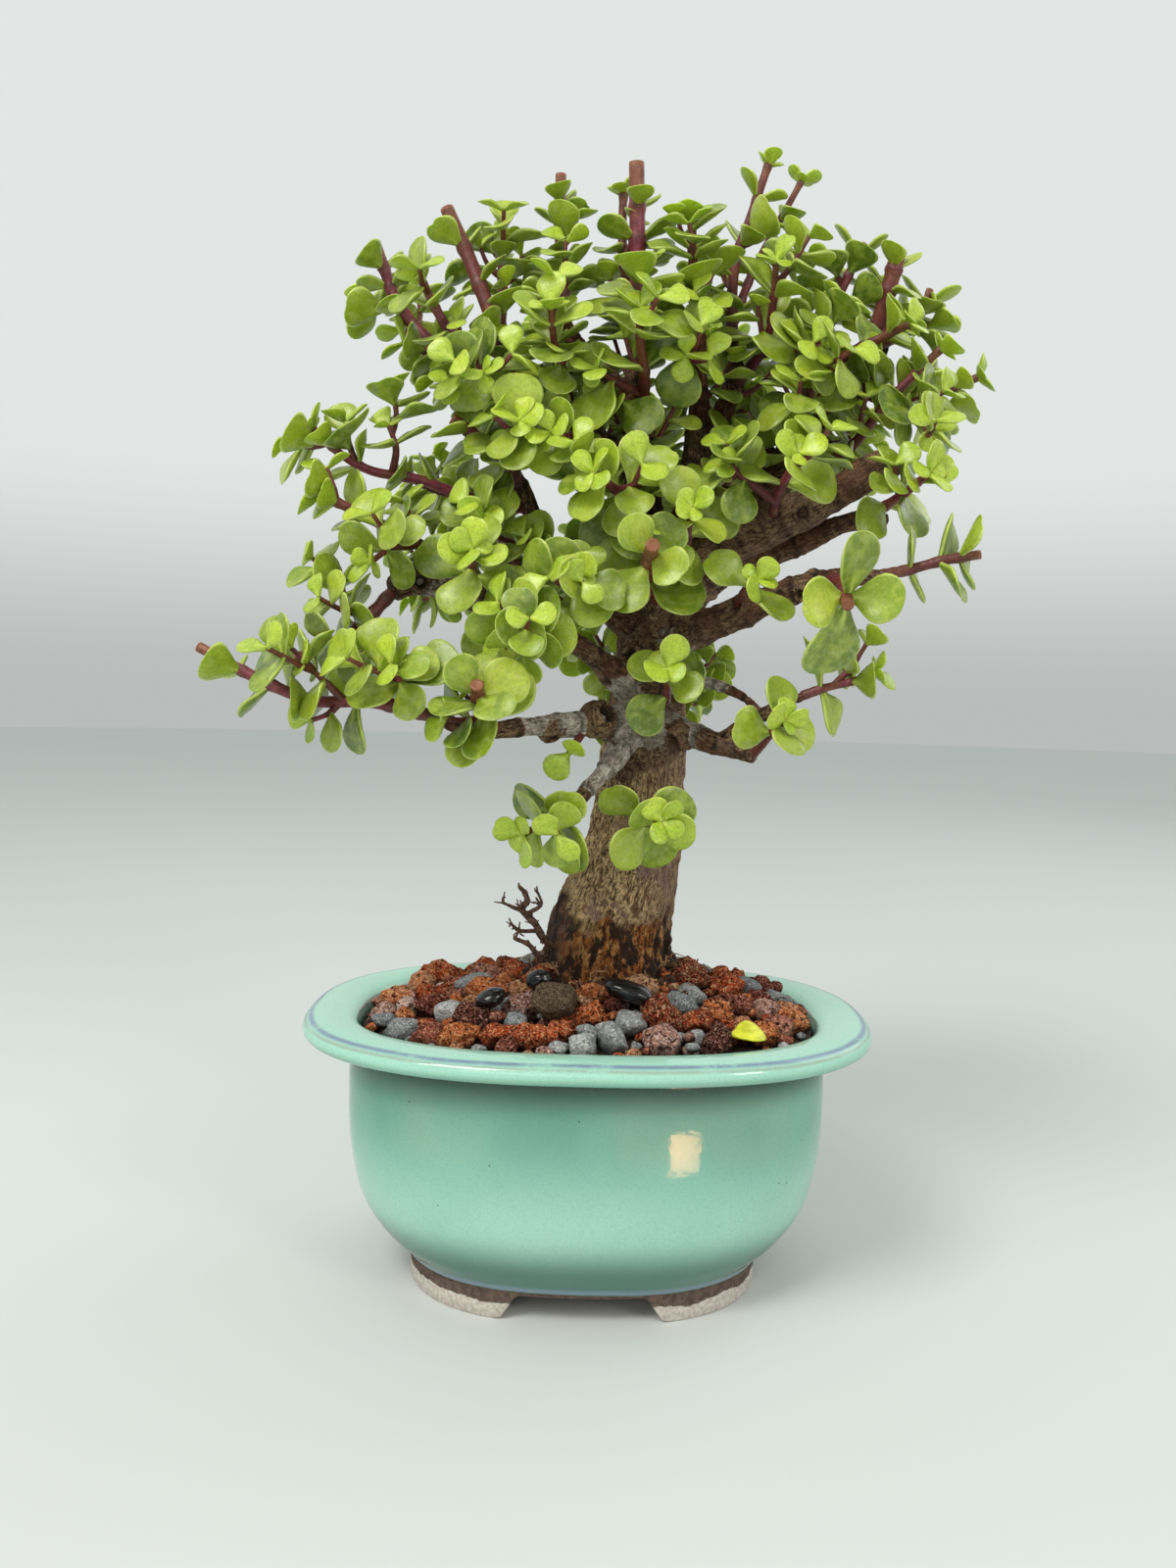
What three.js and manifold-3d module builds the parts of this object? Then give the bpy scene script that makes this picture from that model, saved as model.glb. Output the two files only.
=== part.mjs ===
// Dwarf jade (Portulacaria afra) bonsai in a glazed oval pot with four corner feet.
// Millimetres, +Z up, the table at z = 0. The tree and the pot are laid out around the pot's
// own centre, and the finished group is shifted in x and y so that the origin is the middle of
// the whole object's footprint.

import * as THREE from 'three';
import { mergeVertices } from 'three/addons/utils/BufferGeometryUtils.js';
import Module from 'manifold-3d';

const wasm = await Module();
wasm.setup();

// ---------------------------------------------------------------- driving dimensions

const GAP = 0.32;                 // clearance between two pieces that rest on each other
const OVAL_POWER = 2.5;           // superellipse exponent of the pot's footprint
const POT_SIDES = 28;

// Pot section: half length, half width, height. From the underside, up the outside wall, over
// the flat lip, down the inside wall and on to the floor.
const POT_OUTER = [
  [62.0, 48.6, 9.5], [64.6, 50.0, 12.6], [71.6, 52.6, 18.5], [79.4, 55.8, 30], [83.6, 58.0, 48],
  [84.4, 58.4, 70], [84.2, 58.0, 85.6], [97.0, 70.4, 87.0], [100, 73.3, 89.9],
  [98.4, 71.7, 93.2], [93.0, 66.4, 94.2], [82.6, 56.2, 92.2],
];
const POT_INNER = [[80.2, 53.8, 86], [75.6, 50.8, 35], [62.0, 43.6, 17]];
const FLOOR_TOP = 17;

const FOOT = { outer: [62.0, 48.6], inner: [52.5, 39.5], top: 11.5 };
const FOOT_GAP = { front: 56, side: 30, height: 8.8, slope: 7 };
const DRAIN = { radius: 7, offset: 32 };
const SCREEN = { size: 25, thick: 1.2, hole: 7, pitch: 9.5 };

// The potting mix: a mound that rises towards the trunk.
const MOUND = { edge: 89.2, rise: 17, x: 7, y: 10, rx: 58, ry: 42 };
const STONE = { pitch: 16.2, rMin: 6.8, rMax: 9.1, jitter: 2.4, squash: 0.66, lift: 0.4 };

// Trunk and woody branches: [x, y, z, radius] along each axis.
const TRUNK = [
  [7, 15, 72, 21], [7, 15, 90, 26.5], [7, 14, 99, 26.5], [7, 13, 115, 22.8], [12, 12, 137, 19.2],
  [16, 12, 156, 17.3], [18, 12, 177, 15.7], [19, 12, 196, 14.7], [20, 12, 212, 12.8],
  [21, 10, 228, 13.2], [25, 9, 243, 12.4], [27, 9, 252, 8.6],
];
const BRANCHES = [
  // the two heavy limbs to the right, the lower one forked off the first
  [[25, 8, 238, 10.5], [44, 2, 259, 8.4], [64, -8, 268, 6.9], [82, -14, 277, 5.8], [95, -20, 286, 5.0]],
  [[38, 10, 250, 6.6], [54, 10, 255, 5.6], [72, 4, 262, 4.6], [88, -5, 268, 3.2], [99, -11, 268, 2.4]],
  [[23, 8, 226, 8.0], [44, -8, 233, 5.8], [62, -22, 241, 4.6], [76, -32, 245, 3.6], [91, -38, 246, 2.2]],
  [[18, 4, 196, 8.5], [31, -14, 194, 4.4], [42, -24, 190, 3.6], [53, -32, 187, 2.6]],
  [[41, -23, 190, 3.1], [50, -28, 197, 2.3], [59, -30, 203, 1.9], [69, -30, 207, 1.6]],
  [[24, 3, 214, 3.2], [40, -8, 211, 2.1], [51, -16, 206, 1.7], [58, -24, 199, 1.6]],
  // left side
  [[17, 4, 197, 8.0], [-2, -20, 196, 4.7], [-22, -38, 195, 3.2], [-39, -54, 194, 2.4], [-51, -56, 199, 2.1]],
  [[13, 2, 193, 6.0], [4, -20, 180, 3.3], [-3, -30, 173, 2.6], [-5, -34, 170, 1.9]],
  [[18, 8, 206, 8.0], [6, -4, 214, 5.2], [-2, -12, 220, 3.7], [-11, -22, 225, 3.0], [-22, -32, 228, 2.4]],
  [[18, 8, 226, 6.0], [2, 0, 235, 3.1], [-10, -8, 235, 2.7], [-24, -14, 236, 2.9], [-43, -18, 238, 4.7],
    [-59, -22, 243, 5.2], [-69, -26, 239, 3.9]],
  [[-4, -4, 235, 2.8], [-14, 6, 238, 2.9], [-21, 12, 246, 3.2], [-23, 12, 264, 3.2], [-27, 6, 278, 3.2],
    [-35, 0, 287, 2.5]],
  // the crown
  [[22, 8, 236, 9], [18, 4, 258, 7.0], [15, 2, 286, 5.6], [14, 0, 302, 4.4], [12, -3, 318, 3.4]],
  [[26, 9, 240, 9], [32, 12, 267, 6.2], [34, 12, 291, 4.9], [35, 8, 308, 3.8], [34, 3, 322, 2.6]],
  [[28, 9, 240, 9.5], [44, 16, 256, 8.2], [56, 23, 270, 6.8], [70, 30, 292, 5.6], [86, 34, 313, 4.6],
    [98, 33, 326, 3.8], [105, 30, 339, 2.8]],
  [[15, 2, 284, 5.2], [-4, 0, 296, 4.4], [-20, -2, 304, 3.8], [-34, -3, 311, 3.3], [-47, 0, 317, 2.6]],
  [[14, 0, 304, 4.0], [2, 1, 317, 3.2], [-8, 3, 327, 2.7], [-14, 4, 337, 2.2]],
  [[34, 12, 292, 5.0], [44, 14, 309, 4.0], [48, 14, 321, 3.4], [46, 13, 335, 2.7]],
  [[70, 30, 294, 5.4], [73, 26, 312, 4.0], [77, 23, 330, 3.0], [80, 22, 345, 1.9]],
  // the back of the tree
  [[24, 12, 238, 8.5], [28, 40, 258, 5.4], [26, 60, 272, 3.8], [22, 76, 288, 2.6]],
  [[14, 6, 284, 5.0], [2, 28, 300, 3.7], [-10, 46, 314, 2.6]],
  [[68, 32, 290, 6.0], [68, 52, 300, 4.0], [63, 68, 312, 2.8]],
  [[-20, 13, 246, 3.4], [-27, 34, 250, 3.1], [-38, 50, 262, 2.3]],
  [[18, 18, 198, 7.0], [20, 44, 208, 3.6], [14, 62, 216, 2.4]],
];
// Pruning knobs and burls: centre and radius.
const KNOBS = [
  [15, -2, 199, 7.2], [30, -6, 226, 6.2], [-58, -21, 244, 6.4], [-44, -17, 239, 5.6], [72, -28, 245, 4.4],
  [52, 4, 264, 8.2],
];
// A dead twig at the left of the root collar.
const DEAD_TWIG = [
  [[-10, 8, 104, 2.4], [-16, 5, 116, 1.4], [-20, 0, 124, 1.2], [-22, -2, 130, 1.0], [-24, -3, 136, 0.8]],
  [[-22, -2, 129, 1.0], [-31, -4, 131, 0.8]],
  [[-18, 3, 120, 1.1], [-27, -2, 121, 0.8]],
];

// Leafy shoots. Each stem: route, base and tip diameter, leaf length, number of leaf pairs, the
// fraction of the route where the first pair stands, the turn of that pair about the stem in
// degrees, and whether the stem ends in a growing bud or in a pruning cut.
const SHOOTS = {
  // left side, from the long low whip upwards
  left_whip: [
    [[[-50, -56, 198], [-70, -54, 202], [-88, -52, 202], [-107, -50, 209], [-125, -48, 218]],
      4.2, 3.4, 17, 4, 0.3, 20, 'cut'],
    [[[-78, -53, 202], [-82, -58, 207], [-88, -62, 213]], 2.4, 1.6, 15, 2, 0.6, 60, 'bud'],
    [[[-56, -56, 200], [-58, -59, 206], [-60, -62, 213]], 2.6, 1.8, 17, 2, 0.6, 10, 'bud'],
  ],
  left_mid: [
    [[[-68, -27, 238], [-76, -32, 228], [-84, -38, 220], [-93, -42, 216], [-102, -44, 214]],
      4.2, 3.2, 15, 4, 0.3, 70, 'cut'],
    [[[-75, -32, 229], [-83, -26, 233], [-86, -20, 242]], 2.3, 1.6, 15, 3, 0.4, 20, 'bud'],
  ],
  left_high: [
    [[[-45, -17, 240], [-52, -15, 249], [-62, -18, 256], [-73, -22, 261], [-84, -26, 266], [-92, -28, 269]],
      4.6, 2.9, 16, 5, 0.25, 35, 'bud'],
    [[[-60, -18, 255], [-68, -30, 252], [-73, -37, 247]], 2.6, 1.8, 16, 2, 0.6, 0, 'bud'],
  ],
  left_upper: [
    [[[-26, 9, 272], [-44, -3, 273], [-62, -10, 278], [-78, -14, 280], [-88, -18, 285], [-96, -20, 292]],
      4.2, 2.4, 15, 5, 0.22, 15, 'bud'],
    [[[-71, -12, 279], [-69, -16, 287], [-71, -18, 294]], 2.4, 1.6, 14, 2, 0.6, 45, 'bud'],
  ],
  left_crown: [
    [[[-29, 3, 280], [-32, -9, 285], [-41, -15, 291], [-50, -18, 297]], 4.8, 4.0, 16, 3, 0.4, 75, 'cut'],
    [[[-31, -7, 284], [-28, -24, 287], [-26, -38, 292]], 3.0, 1.8, 18, 3, 0.5, 40, 'bud'],
  ],
  left_knob: [[[[-42, -18, 240], [-41, -32, 243], [-40, -42, 246], [-39, -50, 250]],
    3.4, 2.2, 18, 4, 0.35, 25, 'bud']],
  left_inner: [
    [[[-22, 12, 257], [-20, -6, 253], [-19, -20, 248], [-19, -32, 244]], 3.4, 1.9, 16, 3, 0.45, 40, 'bud'],
    [[[-21, 4, 255], [-33, -4, 259], [-38, -18, 260], [-38, -30, 262]], 3.0, 1.9, 17, 3, 0.45, 0, 'bud'],
  ],
  left_front_cut: [[[[-31, -46, 194], [-34, -56, 196], [-35, -66, 202], [-35, -74, 208]],
    4.6, 4.1, 19, 4, 0.34, 55, 'cut']],
  left_front_mid: [[[[-20, -31, 228], [-24, -41, 226], [-26, -50, 222], [-28, -58, 220]],
    3.4, 2.1, 18, 3, 0.4, 12, 'bud']],
  low_left: [[[[-4, -33, 171], [-10, -37, 167], [-16, -41, 164], [-22, -47, 161]],
    3.0, 2.0, 18, 3, 0.4, 45, 'bud']],
  low_left_hanging: [[[[-3, -20, 195], [-6, -30, 190], [-8, -38, 187]], 2.8, 1.8, 17, 1, 0.75, 20, 'bud']],
  // the front, on and beside the trunk
  trunk_low: [[[[16, 0, 168], [16, -20, 165], [18, -34, 164], [22, -46, 166]],
    3.1, 2.2, 18, 4, 0.36, 25, 'bud']],
  trunk_front: [[[[22, 0, 200], [24, -14, 204], [24, -26, 209], [23, -36, 215]],
    3.4, 2.2, 18, 3, 0.5, 75, 'bud']],
  centre_low: [[[[-9, -8, 235], [-9, -24, 238], [-8, -36, 242], [-7, -46, 244]],
    3.2, 2.2, 18, 3, 0.42, 65, 'bud']],
  front_cut: [[[[22, -1, 240], [17, -20, 244], [16, -42, 248], [16, -62, 251]],
    5.4, 4.4, 18.5, 3, 0.42, 0, 'cut']],
  front_right: [[[[31, 4, 256], [30, -14, 258], [29, -32, 262], [29, -46, 265]],
    3.6, 2.2, 17, 3, 0.45, 60, 'bud']],
  front_crown: [[[[16, -1, 264], [12, -16, 269], [5, -34, 272], [-2, -50, 274]],
    4.7, 2.1, 19, 4, 0.36, 35, 'bud']],
  front_upper: [[[[-4, 0, 296], [-9, -14, 293], [-13, -26, 290], [-16, -38, 289]],
    3.2, 2.0, 17, 3, 0.45, 15, 'bud']],
  // the crown, from left to right
  top_left_a: [[[[-45, 0, 316], [-60, 0, 327], [-72, 2, 340], [-76, 2, 350], [-80, 2, 361]],
    4.4, 3.9, 14, 4, 0.2, 10, 'cut']],
  top_left_b: [
    [[[-34, -3, 311], [-49, -14, 323], [-55, -18, 331], [-60, -22, 340]], 4.6, 2.6, 16, 3, 0.4, 55, 'bud'],
    [[[-42, -9, 317], [-40, -22, 313], [-38, -34, 308]], 2.8, 1.9, 16, 2, 0.6, 10, 'bud'],
  ],
  top_left_c: [
    [[[-26, -2, 307], [-34, -4, 322], [-40, -4, 338], [-47, -2, 355], [-55, 0, 372]],
      5.4, 4.9, 15, 3, 0.34, 80, 'cut'],
    [[[-35, -4, 324], [-36, 8, 342], [-37, 12, 356], [-36, 12, 368]], 3.4, 2.0, 12, 3, 0.45, 30, 'bud'],
  ],
  top_a: [[[[-13, 4, 335], [-15, 4, 353], [-16, 4, 370], [-16, 4, 386]], 4.2, 3.9, 13, 4, 0.2, 5, 'cut']],
  top_b: [[[[-9, 0, 299], [-13, -14, 313], [-16, -26, 320], [-17, -36, 328]],
    3.4, 1.9, 18, 4, 0.36, 20, 'bud']],
  top_leader: [
    [[[12, -2, 316], [12, 2, 339], [11, 0, 364], [10, -2, 388]], 6.0, 5.4, 15, 4, 0.22, 25, 'cut'],
    [[[12, 2, 330], [8, 8, 350], [6, 9, 366], [6, 9, 382]], 3.8, 3.0, 14, 2, 0.6, 70, 'bud'],
  ],
  top_front: [
    [[[14, 0, 303], [14, -18, 312], [12, -28, 320], [11, -37, 328]], 4.4, 2.2, 18, 3, 0.4, 50, 'bud'],
    [[[14, -9, 308], [6, -20, 309], [-2, -30, 311]], 3.0, 1.9, 17, 2, 0.65, 20, 'bud'],
  ],
  top_c: [
    [[[34, 4, 320], [33, -4, 335], [30, -8, 352], [29, -10, 365]], 4.4, 2.8, 17, 4, 0.2, 20, 'bud'],
    [[[34, -1, 329], [29, -14, 323], [27, -27, 317]], 3.0, 2.0, 18, 2, 0.6, 40, 'bud'],
  ],
  top_right_a: [
    [[[46, 13, 334], [46, 9, 358], [51, 6, 375], [56, 4, 391]], 4.2, 2.8, 14, 4, 0.12, 30, 'bud'],
    [[[46, 12, 338], [53, 16, 358], [61, 14, 374], [69, 12, 389]], 3.3, 2.2, 13, 3, 0.34, 0, 'bud'],
  ],
  top_right_b: [
    [[[48, 13, 318], [56, 0, 328], [57, -12, 340], [56, -22, 349]], 4.0, 2.0, 17, 3, 0.3, 65, 'bud'],
    [[[55, 2, 326], [66, -8, 325], [73, -18, 323]], 2.8, 1.9, 16, 2, 0.6, 30, 'bud'],
  ],
  right_top_a: [[[[80, 22, 343], [86, 20, 354], [90, 20, 363], [94, 20, 371]],
    3.4, 3.2, 15, 3, 0.2, 10, 'cut']],
  right_top_b: [
    [[[99, 32, 328], [100, 22, 342], [103, 16, 356], [105, 14, 367]], 6.0, 5.8, 15, 3, 0.35, 50, 'cut'],
    [[[100, 25, 336], [110, 31, 342], [119, 33, 351], [122, 33, 360]], 3.6, 3.0, 15, 3, 0.4, 10, 'cut'],
  ],
  right_front_a: [
    [[[73, 25, 314], [79, 10, 322], [88, 2, 328], [96, -3, 331], [104, -9, 334]],
      4.6, 2.4, 16, 4, 0.3, 40, 'bud'],
    [[[77, 15, 319], [72, 2, 311], [69, -10, 304]], 3.0, 2.0, 16, 2, 0.6, 0, 'bud'],
  ],
  right_front_b: [
    [[[74, 27, 296], [82, 14, 292], [90, 3, 297], [98, -1, 308], [107, -5, 318], [115, -9, 326]],
      4.4, 2.6, 16, 4, 0.35, 15, 'bud'],
    [[[98, -1, 308], [105, -10, 303], [110, -19, 297]], 2.8, 1.9, 16, 2, 0.55, 70, 'bud'],
  ],
  right_end: [[[[97, 32, 321], [104, 22, 317], [115, 17, 317], [124, 13, 318], [134, 10, 322]],
    3.8, 2.5, 14, 4, 0.25, 70, 'bud']],
  // right side, downwards
  fork_high: [
    [[[60, -8, 266], [59, -20, 273], [61, -34, 279], [62, -42, 283]], 3.6, 2.2, 17, 3, 0.5, 30, 'bud'],
    [[[59, -19, 272], [49, -25, 277], [42, -31, 281]], 2.8, 1.9, 16, 2, 0.6, 60, 'bud'],
  ],
  stub_leaves: [[[[93, -8, 269], [97, -18, 272], [101, -28, 275], [105, -38, 279]],
    3.8, 2.4, 16, 4, 0.3, 60, 'bud']],
  right_low_tip: [[[[90, -38, 246], [99, -38, 248], [110, -41, 251], [121, -42, 253]],
    3.4, 3.0, 16, 3, 0.35, 35, 'cut']],
  front_low_right: [[[[76, -33, 245], [77, -44, 243], [75, -57, 239], [74, -68, 234]],
    4.4, 3.8, 21, 2, 0.82, 45, 'cut']],
  fork_low: [[[[47, -9, 234], [48, -20, 239], [49, -30, 242], [51, -38, 244]],
    3.2, 1.9, 16, 2, 0.7, 20, 'bud']],
  low_right_a: [[[[52, -31, 187], [55, -38, 192], [57, -45, 196], [59, -52, 199]],
    3.2, 2.0, 16, 3, 0.55, 40, 'bud']],
  low_right_b: [[[[68, -30, 207], [76, -31, 210], [84, -31, 212], [91, -31, 215]],
    2.9, 2.2, 16, 3, 0.25, 10, 'bud']],
  // the back
  back_a: [[[[22, 75, 287], [20, 84, 304], [18, 88, 322]], 4.0, 2.6, 18, 3, 0.25, 20, 'bud']],
  back_b: [[[[26, 60, 272], [42, 74, 280], [58, 86, 292]], 4.0, 2.6, 18, 3, 0.3, 50, 'bud']],
  back_c: [[[[27, 50, 265], [8, 68, 262], [-10, 82, 266]], 4.0, 2.6, 18, 3, 0.35, 80, 'bud']],
  back_d: [[[[-10, 45, 313], [-19, 58, 330], [-24, 64, 348]], 3.8, 2.6, 17, 3, 0.25, 35, 'bud']],
  back_f: [[[[-7, 40, 308], [-30, 46, 311], [-50, 50, 320]], 3.8, 2.6, 17, 3, 0.35, 60, 'bud']],
  back_g: [[[[63, 67, 311], [62, 78, 328], [60, 84, 346]], 3.8, 2.6, 17, 3, 0.25, 5, 'bud']],
  back_h: [[[[67, 56, 302], [84, 66, 306], [104, 72, 314]], 3.8, 2.6, 17, 3, 0.35, 40, 'bud']],
  back_i: [[[[67, 46, 297], [54, 52, 320], [42, 52, 346]], 3.8, 2.6, 17, 3, 0.35, 75, 'bud']],
  back_j: [[[[-37, 49, 261], [-52, 60, 272], [-66, 68, 286]], 3.6, 2.4, 17, 3, 0.3, 25, 'bud']],
  back_k: [[[[-30, 40, 254], [-50, 42, 248], [-68, 38, 246]], 3.6, 2.4, 17, 3, 0.35, 55, 'bud']],
  back_l: [[[[14, 61, 215], [6, 74, 222], [-4, 86, 232]], 3.4, 2.4, 18, 3, 0.25, 0, 'bud']],
  back_m: [[[[19, 46, 208], [34, 58, 211], [50, 70, 218]], 3.4, 2.4, 18, 3, 0.35, 30, 'bud']],
};

// Leaf: a thick obovate blade. Half width along the length, as [fraction of length, fraction of
// half width]; the first entry is the stalk, which sinks into the stem.
const LEAF_OUTLINE = [[0, 0], [0.52, 0.97], [0.95, 0.64]];
// How far along its stem the last pair of leaves sits, below a growing bud or a pruned end.
const LAST_PAIR = { bud: 0.985, cut: 0.8 };
const LEAF = { slim: 0.43, thick: 2.3, back: 0.9, crown: 0.55 };
const LEAF_LOWEST = 112;          // leaves stay above the grit
const LEAF_CLEAR = 1.35;          // from a blade's middle plane to anything of another shoot
// Ways to bend a leaf clear of its neighbours: turn about the stem, lift, share of its length.
const BENDS = [
  [0, 0, 1], [18, 6, 1], [-18, 6, 1], [0, 22, 1], [34, 0, 0.94], [-34, 0, 0.94], [0, -18, 0.94],
  [24, 26, 0.86], [-24, 26, 0.86], [50, 8, 0.82], [-50, 8, 0.82], [0, 38, 0.76], [0, -32, 0.76],
  [40, -24, 0.7], [-40, -24, 0.7],
];

// The yellow leaf that fell on the grit.
const FALLEN = { at: [53, -40], turn: 14, length: 13, tilt: 8, lift: 3.6 };

// ---------------------------------------------------------------- solids and booleans

function toSolid(geometry) {
  const bare = geometry.index ? geometry.toNonIndexed() : geometry.clone();
  bare.deleteAttribute('normal');
  bare.deleteAttribute('uv');
  const merged = mergeVertices(bare, 1e-4);
  const mesh = new wasm.Mesh({
    numProp: 3,
    vertProperties: new Float32Array(merged.attributes.position.array),
    triVerts: new Uint32Array(merged.index.array),
  });
  mesh.merge();
  return new wasm.Manifold(mesh);
}

function toGeometry(solid) {
  const mesh = solid.getMesh();
  const geometry = new THREE.BufferGeometry();
  geometry.setAttribute('position', new THREE.BufferAttribute(mesh.vertProperties.slice(), 3));
  geometry.setIndex(new THREE.BufferAttribute(mesh.triVerts.slice(), 1));
  return largestBody(geometry);
}

// Keeps the body with the most triangles, so that no loose scrap stays in a node.
function largestBody(geometry) {
  const index = geometry.index.array;
  const parent = Array.from({ length: geometry.attributes.position.count }, (_, i) => i);
  const find = (i) => {
    while (parent[i] !== i) {
      parent[i] = parent[parent[i]];
      i = parent[i];
    }
    return i;
  };
  for (let t = 0; t < index.length; t += 3) {
    parent[find(index[t])] = find(index[t + 1]);
    parent[find(index[t + 1])] = find(index[t + 2]);
  }
  const sizes = new Map();
  for (let t = 0; t < index.length; t += 3) {
    const root = find(index[t]);
    sizes.set(root, (sizes.get(root) ?? 0) + 1);
  }
  const [main] = [...sizes].sort((a, b) => b[1] - a[1])[0];
  const kept = [];
  for (let t = 0; t < index.length; t += 3) {
    if (find(index[t]) === main) kept.push(index[t], index[t + 1], index[t + 2]);
  }
  geometry.setIndex(kept);
  return geometry;
}

function join(solids) {
  return solids.reduce((whole, next) => (whole ? whole.add(next) : next), null);
}

function meshFrom(positions, faces) {
  const geometry = new THREE.BufferGeometry();
  geometry.setAttribute('position', new THREE.BufferAttribute(new Float32Array(positions), 3));
  geometry.setIndex(faces);
  return geometry;
}

// A closed surface through rings of equal count; the ends are closed by fans.
function loft(rings) {
  const count = rings[0].length;
  const positions = rings.flat().flatMap((p) => [p.x, p.y, p.z]);
  const faces = [];
  for (let r = 0; r < rings.length - 1; r++) {
    for (let i = 0; i < count; i++) {
      const a = r * count + i;
      const b = r * count + ((i + 1) % count);
      faces.push(a, b, b + count, a, b + count, a + count);
    }
  }
  const ends = [[0, false], [rings.length - 1, true]];
  for (const [r, top] of ends) {
    const middle = rings[r].reduce((sum, p) => sum.add(p), new THREE.Vector3()).divideScalar(count);
    const hub = positions.length / 3;
    positions.push(middle.x, middle.y, middle.z);
    for (let i = 0; i < count; i++) {
      const a = r * count + i;
      const b = r * count + ((i + 1) % count);
      faces.push(hub, top ? a : b, top ? b : a);
    }
  }
  return meshFrom(positions, faces);
}

function ovalRing(a, b, z, sides = POT_SIDES) {
  return Array.from({ length: sides }, (_, i) => {
    const t = (i / sides) * Math.PI * 2;
    const c = Math.cos(t);
    const s = Math.sin(t);
    const x = a * Math.sign(c) * Math.abs(c) ** (2 / OVAL_POWER);
    const y = b * Math.sign(s) * Math.abs(s) ** (2 / OVAL_POWER);
    return new THREE.Vector3(x, y, z);
  });
}

// The smooth curve through a route's points.
function routeCurve(route) {
  const points = route.map(([x, y, z]) => new THREE.Vector3(x, y, z));
  return new THREE.CatmullRomCurve3(points, false, 'centripetal');
}

// A round, slightly uneven tube along a route of [x, y, z, radius] points.
function limb(route, sides, { grow = 0, lobes = null } = {}) {
  const curve = routeCurve(route);
  const steps = route.length - 1;
  const frames = curve.computeFrenetFrames(steps, false);
  const rings = [];
  for (let k = 0; k <= steps; k++) {
    const radius = route[k][3];
    const centre = curve.getPoint(k / steps);
    rings.push(Array.from({ length: sides }, (_, i) => {
      const angle = (i / sides) * Math.PI * 2;
      const wave = lobes ? lobes(angle, centre.z) : 1;
      return centre.clone()
        .addScaledVector(frames.normals[k], Math.cos(angle) * (radius * wave + grow))
        .addScaledVector(frames.binormals[k], Math.sin(angle) * (radius * wave + grow));
    }));
  }
  return toSolid(loft(rings));
}

// An even, repeatable scatter in 0..1 from three whole numbers.
function scatter(i, j, k) {
  const s = Math.sin(i * 12.9898 + j * 78.233 + k * 37.719) * 43758.5453;
  return s - Math.floor(s);
}

// ---------------------------------------------------------------- pot, screens

function buildPot() {
  const wall = toSolid(loft([...POT_OUTER, ...POT_INNER].map(([a, b, z]) => ovalRing(a, b, z))));
  const [oa, ob] = FOOT.outer;
  const [ia, ib] = FOOT.inner;
  const ring = toSolid(loft([ovalRing(oa, ob, 0), ovalRing(oa, ob, FOOT.top)]))
    .subtract(toSolid(loft([ovalRing(ia, ib, -1), ovalRing(ia - 2, ib - 2, POT_OUTER[0][2])])));
  const cuts = [];
  for (const [width, turn] of [[FOOT_GAP.front, 0], [FOOT_GAP.side, Math.PI / 2]]) {
    const half = width / 2;
    const shoulder = half - FOOT_GAP.slope;
    const arch = new THREE.Shape([
      new THREE.Vector2(-half, -1),
      new THREE.Vector2(half, -1),
      new THREE.Vector2(shoulder, FOOT_GAP.height),
      new THREE.Vector2(-shoulder, FOOT_GAP.height),
    ]);
    const prism = new THREE.ExtrudeGeometry(arch, { depth: 160, bevelEnabled: false });
    prism.translate(0, 0, -80);
    prism.rotateX(Math.PI / 2);
    prism.rotateZ(turn);
    cuts.push(toSolid(prism));
  }
  for (const side of [-1, 1]) {
    const drill = new THREE.CylinderGeometry(DRAIN.radius, DRAIN.radius, 30, 14);
    drill.rotateX(Math.PI / 2);
    drill.translate(side * DRAIN.offset, 0, 14);
    cuts.push(toSolid(drill));
  }
  return wall.add(ring.subtract(cuts[0]).subtract(cuts[1])).subtract(cuts[2]).subtract(cuts[3]);
}

function block(width, depth, height, x, y, z) {
  const geometry = new THREE.BoxGeometry(width, depth, height);
  geometry.translate(x, y, z + height / 2);
  return toSolid(geometry);
}

// A square of plastic mesh over a drain hole.
function buildScreen(x, z, grow = 0) {
  const size = SCREEN.size + grow * 2;
  let plate = block(size, size, SCREEN.thick + grow * 2, x, 0, z - grow);
  if (grow > 0) return plate;
  for (const dx of [-0.5, 0.5]) {
    for (const dy of [-0.5, 0.5]) {
      const hole = block(SCREEN.hole, SCREEN.hole, 10, x + dx * SCREEN.pitch, dy * SCREEN.pitch, z - 4);
      plate = plate.subtract(hole);
    }
  }
  return plate;
}

// ---------------------------------------------------------------- trunk

// Buttress roots swell the collar and fade out up the trunk.
function rootLobes(angle, z) {
  const fade = THREE.MathUtils.clamp((150 - z) / 45, 0, 1);
  const roots = 0.1 * Math.cos(5 * angle + 0.6) + 0.05 * Math.cos(3 * angle + 2.1);
  const flutes = 0.035 * Math.cos(7 * angle + z * 0.09);
  return 1 + fade * roots + flutes;
}

function branchSides(route) {
  const widest = Math.max(...route.map((p) => p[3]));
  return widest > 7 ? 6 : widest > 4.6 ? 5 : 4;
}

function buildTrunk(grow = 0) {
  const parts = [limb(TRUNK, 10, { grow, lobes: rootLobes })];
  for (const route of BRANCHES) parts.push(limb(route, branchSides(route), { grow }));
  for (const [x, y, z, r] of KNOBS) {
    const knob = new THREE.IcosahedronGeometry(r + grow, 0);
    knob.scale(1, 1, 0.85);
    knob.translate(x, y, z);
    parts.push(toSolid(knob));
  }
  for (const route of DEAD_TWIG) parts.push(limb(route, 4, { grow }));
  return join(parts);
}

// ---------------------------------------------------------------- potting mix

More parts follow.
